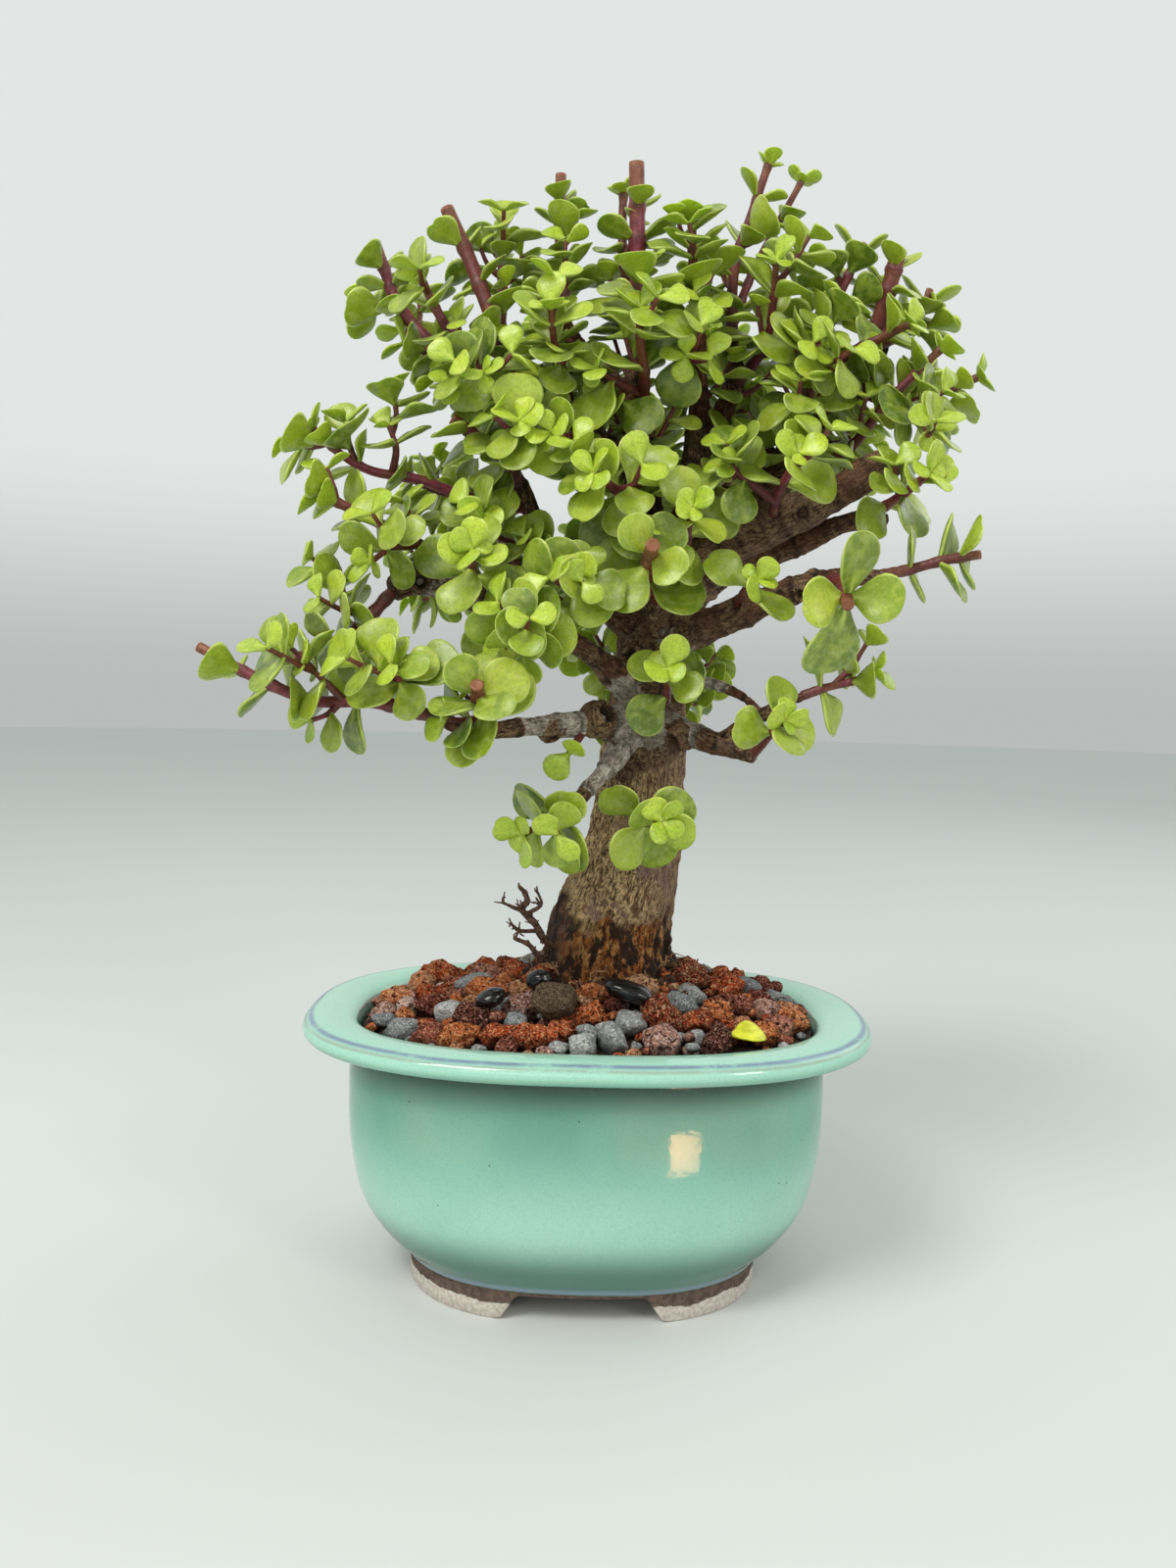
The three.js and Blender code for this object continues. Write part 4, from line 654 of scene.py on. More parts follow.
def bark_material():
    g = Graph("bark")
    x, y, along, girth = (g.value(n) for n in ("bark_x", "bark_y", "bark_along", "bark_girth"))
    wet, scar_and_painted_shade, ring, pale = (g.value(n) for n in ("bark_wet", "bark_scar", "bark_ring", "bark_pale"))
    place = g.place()
    flow = g.vector(x, y, g.times(along, 0.4))
    strands = g.noise(flow, 0.36, 5, 0.62, 2.2)
    plates = g.noise(g.vector(x, y, g.times(along, 1.7)), 0.16, 4, 0.6, 1.2)
    g.colour = g.mix(g.ramp(strands, 0.41, 0.56), "7c5a3c", "ecc992")
    g.lay(g.ramp(plates, 0.46, 0.6, 0.0, 0.6), "a9835c")
    cracks = g.noise(g.vector(x, y, g.times(along, 0.3)), 0.7, 5, 0.62, 1.8)
    wrinkles = g.noise(g.vector(x, y, g.times(along, 2.6)), 0.26, 4, 0.65, 0.8)
    g.lay(g.ramp(cracks, 0.53, 0.6, 0.0, 0.9), "36241a")
    g.lay(g.ramp(wrinkles, 0.58, 0.66, 0.0, 0.8), "442f22")
    g.lay(g.ramp(cracks, 0.36, 0.44, 0.7, 0.0), "ecd6b0")
    patches = g.noise(place, 80, 3)
    g.lay(g.ramp(patches, 0.54, 0.66, 0.0, 0.55), "957476")
    across = g.node("SeparateXYZ", {0: place}).outputs[0]
    g.lay(g.ramp(across, 0.004, 0.02, 0.0, 0.4), "84625c")
    slim = g.ramp(girth, 4.0, 11.0, 1.0, 0.0)
    branch = g.mix(g.ramp(strands, 0.4, 0.58), "4f3424", "a98764")
    branch = g.mix(g.ramp(cracks, 0.5, 0.62, 0.0, 0.8), branch, "2c1e15")
    branch = g.mix(g.ramp(wrinkles, 0.55, 0.64, 0.0, 0.7), branch, "32221a")
    branch = g.mix(g.ramp(g.noise(place, 60, 2), 0.5, 0.58, 0.0, 0.5), branch, "7c4631")
    g.lay(slim, branch)
    # Bleached grey wood, painted near-white: partly its own pale colour, partly painted light where the canopy
    # shades the crotch.
    grey = g.mix(g.ramp(strands, 0.4, 0.6), "c2b2a1", "fff6ea")
    grey = g.mix(g.ramp(cracks, 0.55, 0.62, 0.0, 0.7), grey, "4a382b")
    bleached_and_painted_light = g.plus(pale, g.times(g.minus(g.noise(place, 220, 4, 0.65), 0.5), 1.5))
    g.lay(g.ramp(bleached_and_painted_light, 0.36, 0.56, 0.0, 0.9), grey)
    g.lay(g.times(ring, 0.85), "261a13")
    roots = g.mix(g.ramp(strands, 0.4, 0.56), "4a240d", "b87031")
    for squeeze, cells, low, high, most, shade in (
            (0.45, 420, 0.51, 0.58, 0.95, "cf9c60"), (0.6, 130, 0.49, 0.54, 0.93, "1c0e07")):
        spots = g.noise(g.scaled(place, 1, 1, squeeze), cells, 5, 0.7)
        roots = g.mix(g.ramp(spots, low, high, 0.0, most), roots, shade)
    moss = g.ramp(g.noise(place, 75, 3), 0.57, 0.65, 0.0, 0.55)
    roots = g.mix(moss, roots, "4d4a1c")
    roots = g.mix(g.ramp(across, -0.021, -0.004, 0.7, 0.0), roots, "2a170c")
    g.lay(wet, roots)
    # The stubs' dark faces: the old cut's own colour and painted shade in the hollow.
    g.lay(g.times(scar_and_painted_shade, 0.9), "24180f")
    g.set(Base_Color=g.colour, Roughness=g.ramp(wet, 0.0, 1.0, 0.82, 0.6), Specular_IOR_Level=0.3)
    height = g.minus(strands, g.times(cracks, 0.7))
    height = g.minus(height, g.times(wrinkles, 0.5))
    ridges = g.bump(height, 1.0, 0.0026)
    g.set(Normal=g.bump(g.noise(place, 900, 4, 0.65), 0.55, 0.0014, ridges))
    return g.material


def glaze_material():
    g = Graph("celadon_glaze")
    place = g.place()
    height = g.times(g.node("SeparateXYZ", {0: place}).outputs[2], 1000.0)
    run = g.value("pot_run")
    inside = g.value("pot_inside")
    wander = g.noise(place, 26, 2)
    cloud = g.noise(g.scaled(place, 1, 1, 0.55), 30, 4, 0.5)
    mist = g.noise(place, 1100, 3, 0.6)
    # Painted reflection: the glaze paler low on the belly and darker high on it.
    g.colour = g.mix(g.ramp(height, 34, 66), "a8d6c5", "71aa97")
    g.lay(g.ramp(cloud, 0.35, 0.68, 0.0, 0.4), "8ec6b2")
    # Painted reflection: soft warm clouds high on the belly.
    warm_painted_reflection = g.times(g.ramp(g.noise(g.scaled(place, 1, 1, 0.7), 17, 3), 0.5, 0.62), g.ramp(height, 50, 62))
    g.lay(g.times(warm_painted_reflection, 0.25), "a8bd9f")
    # Painted shadow under the lip.
    painted_lip_shadow = g.times(g.ramp(height, 70, 85), g.ramp(height, 86.0, 87.5, 1.0, 0.0))
    g.lay(painted_lip_shadow, "1f3b33")
    # Painted reflection and shade: the glaze darker towards the foot.
    g.lay(g.ramp(height, 17, 33, 0.9, 0.0), "476f63")
    # Painted highlight: lighter over the lip's upper roll and top.
    g.lay(g.ramp(height, 86.5, 91.0, 0.0, 0.85), "aadcc8")
    # Painted shade on the pot's inside walls.
    g.lay(inside, g.mix(cloud, "2f5446", "4c7563"))
    g.lay(g.ramp(mist, 0.42, 0.7, 0.0, 0.14), "4f8a78")
    broken = g.ramp(g.noise(place, 34, 5, 0.8), 0.32, 0.5, 0.3, 1.0)
    for middle, width, strength, shade in LIP_LINES:
        off = g.math("ABSOLUTE", g.minus(g.plus(run, g.times(wander, 1.6)), middle + 0.8))
        line = g.times(g.ramp(off, 0.0, width, 1.0, 0.0), broken)
        g.lay(g.times(line, strength), shade)
    specks = g.ramp(g.cells(place, 170), 0.03, 0.065, 0.85, 0.0)
    few = g.ramp(g.noise(place, 55, 1), 0.5, 0.56)
    g.lay(g.times(specks, few), "26332f")
    dust = g.ramp(g.cells(place, 620), 0.05, 0.13, 0.3, 0.0)
    g.lay(dust, "3c6a5c")
    seam = g.plus(height, g.times(g.noise(place, 45, 3), 1.8))
    blue = g.times(g.ramp(seam, GLAZE_EDGE + 0.2, GLAZE_EDGE + 1.0), g.ramp(seam, 12.2, 14.2, 1.0, 0.0))
    g.lay(g.times(blue, 0.8), "7f90a3")
    bare = g.ramp(seam, GLAZE_EDGE, GLAZE_EDGE + 0.7, 1.0, 0.0)
    clay = g.mix(g.ramp(g.noise(place, 500, 4), 0.35, 0.65), "4f3f38", "6d594d")
    chalk_edge = g.plus(height, g.times(g.noise(place, 120, 4, 0.6), 5.0))
    chalk = g.ramp(chalk_edge, 7.6, 8.1, 1.0, 0.0)
    white = g.mix(g.ramp(g.noise(place, 700, 4, 0.65), 0.35, 0.65), "c2b6aa", "dfd7cd")
    clay = g.mix(chalk, clay, white)
    g.lay(bare, clay)
    g.set(Base_Color=g.colour, Roughness=g.ramp(bare, 0.0, 1.0, 0.07, 0.85), IOR=1.5)
    g.set(Subsurface_Weight=0.04, Subsurface_Radius=(0.5, 1.0, 0.8), Subsurface_Scale=0.002)
    ripple = g.bump(g.noise(place, 75, 2), 0.1, 0.0012)
    grit = g.times(g.noise(place, 1400, 4, 0.7), bare)
    orange_peel = g.bump(g.noise(place, 620, 2), 0.035, 0.0006, ripple)
    g.set(Normal=g.bump(grit, 0.5, 0.0008, orange_peel))
    return g.material


def stone_material(name, tones, depth, grain=1.0, rough=0.92):
    """Rough stone: tones mixed by the stone's own number and by noise, with painted shade in its ragged pores
    and on its underside.
    """
    g = Graph(name)
    chance, low = g.value("stone_chance"), g.value("stone_low")
    place = g.place()
    blotch = g.times(g.minus(g.noise(place, 260, 4, 0.65), 0.5), 0.6)
    tone = g.plus(chance, blotch)
    g.colour = g.mix(g.ramp(tone, 0.0, 0.3), tones[0], tones[1])
    g.lay(g.ramp(tone, 0.35, 0.6), tones[2])
    g.lay(g.ramp(tone, 0.7, 1.0), tones[3])
    # Pale specks: partly dust, partly a painted highlight.
    bright = tuple(min(1.0, c * 1.7 + 0.05) for c in rgb(tones[3]))
    sponge = g.noise(place, 620 * grain, 3, 0.7, 0.6)
    froth = g.noise(place, 1500 * grain, 3, 0.7, 0.4)
    g.lay(g.ramp(froth, 0.5, 0.62, 0.0, 0.6), bright)
    # Painted shade in the pores.
    pore_shade = tuple(c * 0.16 for c in rgb(tones[0]))
    g.lay(g.ramp(sponge, 0.4, 0.47, depth, 0.0), pore_shade)
    g.lay(g.ramp(froth, 0.36, 0.43, depth * 0.8, 0.0), pore_shade)
    # Painted shade: darker towards each stone's underside, broken up by the sponge noise.
    painted_underside_shade = g.plus(low, g.times(g.minus(sponge, 0.5), 0.8))
    g.lay(g.ramp(painted_underside_shade, -0.45, 0.5, 0.0, 0.95), "1d0e08")
    g.set(Base_Color=g.colour, Roughness=rough, Specular_IOR_Level=0.2)
    wells = g.plus(g.ramp(sponge, 0.36, 0.54), g.times(g.ramp(froth, 0.34, 0.56), 0.4))
    pores = g.bump(wells, 1.0, 0.0018)
    g.set(Normal=g.bump(g.noise(place, 340, 4, 0.75), 1.0, 0.003, pores))
    return g.material


def plain_material(name, dark, light, cells, roughness, bump=0.3):
    """Two tones mixed by noise, for small bits."""
    g = Graph(name)
    place = g.place()
    lumps = g.noise(place, cells, 4, 0.6)
    g.set(Base_Color=g.mix(g.ramp(lumps, 0.32, 0.68), dark, light))
    g.set(Roughness=g.ramp(lumps, 0.3, 0.7, roughness * 0.8, min(1.0, roughness * 1.1)))
    g.set(Normal=g.bump(g.noise(place, cells * 3, 3), bump, 0.0006))
    return g.material


def floor_material():
    g = Graph("studio_floor")
    place = g.place()
    g.set(Base_Color=g.mix(g.noise(place, 3, 2), "cdd1cf", "d2d6d4"), Roughness=0.8)
    return g.material


# ------------------------------------------------------------------ pot


def oval(a, b, z, sides):
    t = np.arange(sides) / sides * 2 * math.pi
    c, s = np.cos(t), np.sin(t)
    k = 2 / OVAL_POWER
    x, y = a * np.sign(c) * np.abs(c) ** k, b * np.sign(s) * np.abs(s) ** k
    return np.stack([x, y, np.broadcast_to(np.asarray(z, float), x.shape)], axis=1)


def foot_height(ring):
    """How high the foot ring's lower edge lies at each point: 0 on a foot, up in the gaps."""
    x, y = np.abs(ring[:, 0]), np.abs(ring[:, 1])
    front = 1 - smoothstep(x, FOOT_GAP["front"] - FOOT_GAP["slope"], FOOT_GAP["front"])
    side = 1 - smoothstep(y, FOOT_GAP["side"] - FOOT_GAP["slope"], FOOT_GAP["side"])
    return FOOT_GAP["height"] * np.maximum(front, side)


def build_pot(material):
    shape = Shape()
    profile = Route([(*p, 0) for p in POT_PROFILE])
    steps = (len(POT_PROFILE) - 1) * 5
    # An even angle bunches points on the oval's flat sides, so the corners stay smooth.
    rows = [oval(0.5, 0.4, 9.5, POT_SIDES), oval(50.5, 37.5, 9.5, POT_SIDES)]
    edge = 0.5
    for (a, b), inwards in ((FOOT_INNER, -1), (FOOT_OUTER, 1)):
        ring = oval(a, b, 0, POT_SIDES)
        low = foot_height(ring)
        corner = oval(a - inwards * edge, b - inwards * edge, 0, POT_SIDES)
        corner[:, 2] = foot_height(corner)
        lifted, upper = ring.copy(), ring.copy()
        lifted[:, 2] = low + np.minimum(edge, (9.3 - low) * 0.5)
        upper[:, 2] = low + (9.5 - low) * 0.7
        rows.extend([upper, lifted, corner] if inwards < 0 else [corner, lifted, upper])
    for k in range(steps + 1):
        a, b, z = profile.point(k / steps)
        rows.append(oval(a, b, z, POT_SIDES))
    rows.append(oval(0.5, 0.4, 17, POT_SIDES))
    verts = np.array(rows).reshape(-1, 3)
    shape.add(verts, grid_faces(len(rows), POT_SIDES))
    for row in (0, len(rows) - 1):
        ring = [row * POT_SIDES + i for i in range(POT_SIDES)]
        shape.faces.append(np.array([ring if row else ring[::-1]]))
        shape.slots.append(np.zeros(1))
    pot = make_piece("glazed_pot", shape, [material], ["pot"])
    for side in (-1, 1):
        bpy.ops.mesh.primitive_cylinder_add(vertices=48, radius=DRAIN["radius"] * MM, depth=0.03)
        drill = bpy.context.active_object
        drill.location = Vector(CENTRE) + Vector((side * DRAIN["offset"] * MM, 0, 0.014))
        cut = pot.modifiers.new("drain", "BOOLEAN")
        cut.operation, cut.solver, cut.object = "DIFFERENCE", "EXACT", drill
        apply_modifiers(pot)
        bpy.data.objects.remove(drill)
    mark_pot(pot)


def mark_pot(pot):
    """Gives the pot's skin its place along the section, from the lip's crest, and marks the inside."""
    profile = Route([(*p, 0) for p in POT_PROFILE])
    rows = np.array([profile.point(t) for t in np.linspace(0, 1, 240)])
    crest = int(np.argmax(rows[:, 2]))
    run = np.concatenate([[0], np.cumsum(np.linalg.norm(np.diff(rows[:, [0, 2]], axis=0), axis=1))])
    run -= run[crest]
    mesh = pot.data
    co = np.zeros(len(mesh.vertices) * 3)
    mesh.vertices.foreach_get("co", co)
    co = (co.reshape(-1, 3) - CENTRE) / MM
    nearest, place = np.full(len(co), 1e9), np.zeros(len(co))
    for (a, b, z), s in zip(rows, run):
        powers = (np.abs(co[:, 0]) / a) ** OVAL_POWER + (np.abs(co[:, 1]) / b) ** OVAL_POWER
        ratio = powers ** (1 / OVAL_POWER)
        gap = np.hypot((ratio - 1) * a, co[:, 2] - z)
        closer = gap < nearest
        nearest[closer], place[closer] = gap[closer], s
    inner = smoothstep(place, 13.5, 20)
    inner[(co[:, 2] < 9.6) | (nearest > 3)] = 0
    for name, values in (("pot_run", place), ("pot_inside", inner)):
        layer = mesh.attributes.new(name, "FLOAT", "POINT")
        layer.data.foreach_set("value", values.astype(np.float32))


def apply_modifiers(obj):
    """Bakes an object's modifiers into its mesh."""
    bpy.context.view_layer.update()
    graph = bpy.context.evaluated_depsgraph_get()
    mesh = bpy.data.meshes.new_from_object(obj.evaluated_get(graph))
    obj.modifiers.clear()
    obj.data = mesh


# ------------------------------------------------------------------ wood


def path_samples(route, step):
    count = max(3, int(math.ceil(route.length() / step)) + 1)
    ts = np.linspace(0, 1, count)
    return ts, np.array([route.point(t) for t in ts]), np.array([route.tangent(t) for t in ts])


def root_lobes(angle, z):
    fade = float(np.clip((150 - z) / 45, 0, 1))
    lobes = 0.1 * np.cos(5 * angle + 0.6) + 0.05 * np.cos(3 * angle + 2.1) + 0.05 * np.cos(9 * angle + 1)
    return 1 + fade * lobes + 0.035 * np.cos(7 * angle + z * 0.09)


def ring_scar(s, number, width):
    """1 on the scars that fallen leaf pairs leave round a branch, at uneven steps along it."""
    pitch = 8.5
    total = np.zeros(len(s))
    for step in range(int(s.max() / pitch) + 2):
        at = (step + 0.7 * scatter(number, step, 3)) * pitch
        strength = 0.45 + 0.55 * scatter(number, step, 7)
        total = np.maximum(total, strength * np.exp(-((s - at) / width) ** 2))
    return total


def wood_parts():
    """The trunk, branches and knobs as closed tubes, and the samples of their axes."""
    shape = Shape()
    samples = []
    for number, points in enumerate([TRUNK, *BRANCHES]):
        route = Route(points)
        trunk = number == 0
        ts, centres, tangents = path_samples(route, 2.0)
        frames = carried_frames(tangents)
        radii = []
        run = np.concatenate([[0], np.cumsum(np.linalg.norm(np.diff(centres, axis=0), axis=1))])
        for t, s in zip(ts, run):
            r = route.radius(t)
            if not trunk:
                r *= 1 + 0.1 * ring_scar(np.array([s]), number, 1.6)[0] + 0.06 * math.sin(s * 0.31 + number)
            radii.append(r)
        lobes = (lambda k, angle, c=centres: root_lobes(angle, c[k][2])) if trunk else None
        rows = tube(centres, frames, radii, 40 if trunk else 16, lobes)
        shape.add(*capped(rows))
        for c, t, f, s, r in zip(centres, tangents, frames, run, radii):
            samples.append((c, t, f, s, r, number))
    for number, (x, y, z, r) in enumerate(KNOBS):
        verts, faces = ball(3)
        lumps = 1 + 0.22 * noise(verts + number * 7, 0.8, 5, 2)
        shape.add(verts * lumps[:, None] * r * (1, 1, 0.85) + (x, y, z), faces)
    return shape, samples


def ball(level):
    """A unit ball of triangles."""
    bm = bmesh.new()
    bmesh.ops.create_icosphere(bm, subdivisions=level, radius=1.0)
    verts = np.array([v.co[:] for v in bm.verts])
    faces = np.array([[v.index for v in f.verts] for f in bm.faces])
    bm.free()
    return verts, faces


def remeshed(shape, voxel, smooth):
    """The shape's overlapping parts as one smooth skin: its vertices, normals and faces."""
    mesh = bpy.data.meshes.new("wood_parts")
    mesh.from_pydata(np.concatenate(shape.verts).tolist(), [], [r for b in shape.faces for r in b.tolist()])
    obj = bpy.data.objects.new("wood_parts", mesh)
    bpy.context.scene.collection.objects.link(obj)
    remesh = obj.modifiers.new("skin", "REMESH")
    remesh.mode, remesh.voxel_size = "VOXEL", voxel
    soften = obj.modifiers.new("soften", "SMOOTH")
    soften.factor, soften.iterations = 0.5, smooth
    apply_modifiers(obj)
    mesh = obj.data
    verts = np.zeros(len(mesh.vertices) * 3)
    mesh.vertices.foreach_get("co", verts)
    normals = np.zeros(len(mesh.vertices) * 3, np.float32)
    mesh.vertex_normals.foreach_get("vector", normals)
    faces = np.zeros(len(mesh.loops), np.int32)
    mesh.loops.foreach_get("vertex_index", faces)
    bpy.data.objects.remove(obj)
    return verts.reshape(-1, 3), normals.reshape(-1, 3).astype(float), faces.reshape(-1, 4)


def add_stub(shape, base, out, r, height, hollow):
    """The collar of a cut branch: a swollen ring round a sunken face."""
    side, other = carried_frames([out])[0]
    profile = [(1.45, -1.2), (1.35, 0.0), (1.15, 0.5), (1.12, 0.85), (1.0, 1.05), (0.84, 1.08), (0.66, 0.9),
               (0.5, 0.75 - 0.8 * hollow), (0.25, 0.65 - 1.2 * hollow), (0.02, 0.62 - 1.3 * hollow)]
    sides = 18
    angle = np.arange(sides) / sides * 2 * math.pi
    rows = []
    for f, h in profile:
        wobble = 1 + 0.07 * np.cos(3 * angle + base[0]) + 0.05 * np.cos(5 * angle + base[2])
        ring = base + out * (h * height + 0.8) + np.outer(np.cos(angle) * r * f * wobble, side)
        rows.append(ring + np.outer(np.sin(angle) * r * f * wobble, other))
    # Painted shade: darker from the rim's crest into the sunken face, more so the hollower it is, and faintly
    # where the collar meets the branch, over the old cut's own dark colour.
    dark = np.repeat([0, 0.3, 0, 0, 0.1, 0.3, 0.8, 1, 1, 1], sides) * (0.45 + 0.55 * hollow)
    turn = np.tile(angle, len(profile)) * r
    shape.add(np.array(rows).reshape(-1, 3), grid_faces(len(rows), sides), bark_x=turn, bark_y=base[1],
              bark_along=np.repeat([h * height * 3 for _, h in profile], sides), bark_girth=7.0,
              bark_scar=dark, bark_pale=0.1)


def build_wood(material):
    parts, samples = wood_parts()
    verts, normals, faces = remeshed(parts, 1.12, 2)
    tree = kdtree.KDTree(len(samples))
    for i, (c, *_rest) in enumerate(samples):
        tree.insert(c, i)
    tree.balance()
    local = np.zeros((len(verts), 5))
    for i, p in enumerate(verts):
        near = tree.find_n(p, 6)
        _, index, _ = min(near, key=lambda hit: hit[2] - samples[hit[1]][4])
        c, t, (u, v), s, r, number = samples[index]
        q = p - c
        local[i] = (q @ u, q @ v, s + q @ t, r, number)
    girth = local[:, 3]
    ring, collar = np.zeros(len(verts)), np.zeros(len(verts))
    for number in range(1, len(BRANCHES) + 1):
        own = local[:, 4] == number
        if own.any():
            ring[own] = ring_scar(local[own, 2], number, 0.95)
            collar[own] = ring_scar(local[own, 2] + 1.3, number, 1.3)
    local[:, 2] += local[:, 4] * 137.0
    fibre = np.stack([local[:, 0], local[:, 1], local[:, 2] * 0.22], axis=1)
    z = verts[:, 2]
    wet = 1 - smoothstep(z + 11 * noise(verts, 10, 3, 3) - 3 * smoothstep(-verts[:, 0], -8, 12), 125.5, 128)
    big = smoothstep(girth, 3, 14)
    relief = (0.12 + 0.8 * big) * noise(fibre, 2.6, 8, 2) + 0.22 * noise(fibre, 1.1, 12) * (0.5 + big)
    relief += (0.15 + 0.3 * big) * noise(local[:, :3] * (0.5, 0.5, 1.5), 2.6, 14, 2)
    coarse, fine = noise(verts * (1, 1, 0.6), 5.0, 21, 2), noise(verts * (1, 1, 0.5), 1.7, 22)
    relief -= wet * (0.6 - 1.5 * coarse - 0.6 * fine)
    relief *= smoothstep(girth, 1.0, 2.5) * 0.6 + 0.4
    relief += collar * 0.09 * np.minimum(girth, 5) - ring * 0.45
    verts = verts + normals * relief[:, None]
    pale = np.zeros(len(verts))
    for (x, y, kz), reach, strength in PALE_WOOD:
        gap = np.linalg.norm(verts - (x, y, kz), axis=1) + 4 * noise(verts, 6, 31, 2)
        pale = np.maximum(pale, strength * (1 - smoothstep(gap, reach * 0.6, reach)))
    shape = Shape()
    shape.add(verts, faces, bark_x=local[:, 0], bark_y=local[:, 1], bark_along=local[:, 2], bark_girth=girth,
              bark_wet=wet, bark_pale=pale, bark_ring=ring)
    for number, t, toward, r, height, hollow in STUBS:
        route = Route([TRUNK, *BRANCHES][number])
        point, tangent = route.point(t), route.tangent(t)
        out = unit(np.array(toward) - tangent * (np.array(toward) @ tangent))
        add_stub(shape, point + out * (route.radius(t) - 0.8), out, r, height, hollow)
    make_piece("trunk_and_limbs", shape, [material], ["trunk"])


def thin_tube(shape, points, radius, sides=6, taper=0.5, **values):
    """A thin twig, root or fibre through listed or drawn points."""
    route = Route([(*p, 0) for p in points])
    ts, centres, tangents = path_samples(route, 1.6)
    radii = radius * (1 - (1 - taper) * ts) * (1 + 0.12 * np.sin(ts * 37 + points[0][0]))
    rows = tube(centres, carried_frames(tangents), radii, sides)
    shape.add(*capped(rows, radius * 0.4, tangents), **values)


def build_dead_twig(material):
    shape = Shape()
    rng = np.random.default_rng(11)
    for points in DEAD_TWIG:
        bent = [np.array(p[:3]) + rng.normal(size=3) * (0.8 if k else 0) for k, p in enumerate(points)]
        thin_tube(shape, bent, points[0][3] * 0.72, 8, 0.6)
        for k in range(1, len(points)):
            for _ in range(3):
                start = bent[k]
                way = unit(rng.normal(size=3) + (-0.6, -0.2, 0.6))
                size = rng.uniform(1.6, 3.6)
                elbow = start + way * size * 0.6
                end = elbow + unit(way + rng.normal(size=3) * 0.9) * size * 0.6
                thin_tube(shape, [start, elbow, end], rng.uniform(0.35, 0.6), 6, 0.6)
    make_piece("dead_twig", shape, [material])


# ------------------------------------------------------------------ soil


def mound_height(x, y):
    g = ((x - MOUND["x"]) / MOUND["rx"]) ** 2 + ((y - MOUND["y"]) / MOUND["ry"]) ** 2
    return MOUND["edge"] + MOUND["rise"] * np.exp(-1.1 * g)


def build_soil_body(material):
    """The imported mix: plain sides and bottom inside the pot, and a crumbly top."""
    shape = Shape()
    sides = 120
    rows = [oval(0.5, 0.4, 17.3, sides), oval(61.6, 43.2, 17.3, sides), oval(75.2, 50.4, 35, sides)]
    rows.append(oval(*SOIL_OVAL, 84, sides))
    for f in np.linspace(1, 0.02, 46):
        ring = oval(SOIL_OVAL[0] * f, SOIL_OVAL[1] * f, 0, sides)
        ring[:, 2] = mound_height(ring[:, 0], ring[:, 1]) - 2.6 + 1.3 * noise(ring, 4.5, 4, 3)
        rows.append(ring)
    array = np.array(rows)
    shape.add(array.reshape(-1, 3), grid_faces(len(rows), sides))
    make_piece("potting_mix", shape, [material], ["soil"])


def stone_shape(kind, size, seed, level):
    """One rough stone around the origin: a few flat breaks, lumps, and pits in the porous kinds."""
    verts, faces = ball(level)
    rng = np.random.default_rng(seed)
    stretch = rng.uniform(0.78, 1.2, 3) * (1, 1, 0.84)
    porous = kind != "pumice"
    radius = 1 + (0.26 if porous else 0.16) * noise(verts + seed * 3.1, 0.85, seed % 97, 2)
    for _ in range(7 if porous else 12):
        way = unit(rng.normal(size=3))
        reach = verts @ way
        limit = rng.uniform(0.58, 0.86)
        broken = np.maximum(limit / np.maximum(reach, 0.2), radius * 0.72)
        radius = np.where(reach * radius > limit, broken, radius)
    if porous:
        for _ in range(30):
            way = unit(rng.normal(size=3))
            wide = rng.uniform(0.14, 0.32)
            gap = np.arccos(np.clip(verts @ way, -1, 1))
            radius -= rng.uniform(0.1, 0.26) * (1 - smoothstep(gap, wide * 0.3, wide))
        radius += 0.16 * noise(verts + seed, 0.26, seed % 89, 2)
    else:
        radius += 0.08 * noise(verts + seed, 0.4, seed % 89, 3)
    return verts * radius[:, None] * stretch * size, faces


def stone_places():
    """Where each stone lies: large ones first, each sunk into the mix and into its neighbours."""
    rng = np.random.default_rng(5)
    placed = [(x, y, z, max(s[:2]) * 0.8) for _, x, y, z, s, *_ in MARKED_STONES]
    out = []
    for low, high, tries in STONE_SIZES:
        for _ in range(tries):
            r = rng.uniform(low, high)
            x, y = rng.uniform(-80, 80), rng.uniform(-54, 54)
            reach = (abs(x) / (SOIL_OVAL[0] - r)) ** OVAL_POWER + (abs(y) / (SOIL_OVAL[1] - r)) ** OVAL_POWER
            if reach > 1 or math.hypot(x - COLLAR[0], y - COLLAR[1]) < COLLAR_REACH + r * 0.25:
                continue
            fx, fy = FALLEN["at"]
            if math.hypot((x - fx) / 1.15, y - fy) < 4.5 + r * 0.35:
                continue
            ground = float(mound_height(x, y)) - 2.4
            z = ground + r * 0.5
            near = np.array(placed)
            d = np.hypot(near[:, 0] - x, near[:, 1] - y)
            touch = STONE_SPACING * (near[:, 3] + r)
            rise = np.sqrt(np.maximum(touch ** 2 - d ** 2, 0))
            for _ in range(4):
                hits = (d < touch) & (np.abs(near[:, 2] - z) < rise - 1e-6)
                if not hits.any():
                    break
                z = float(np.max(near[hits, 2] + rise[hits]))
            if hits.any() or z > ground + r * 0.5 + (3.4 if r < 4.4 else 2.2):
                continue
            placed.append((x, y, z, r))
            out.append((x, y, z, r))
    return out


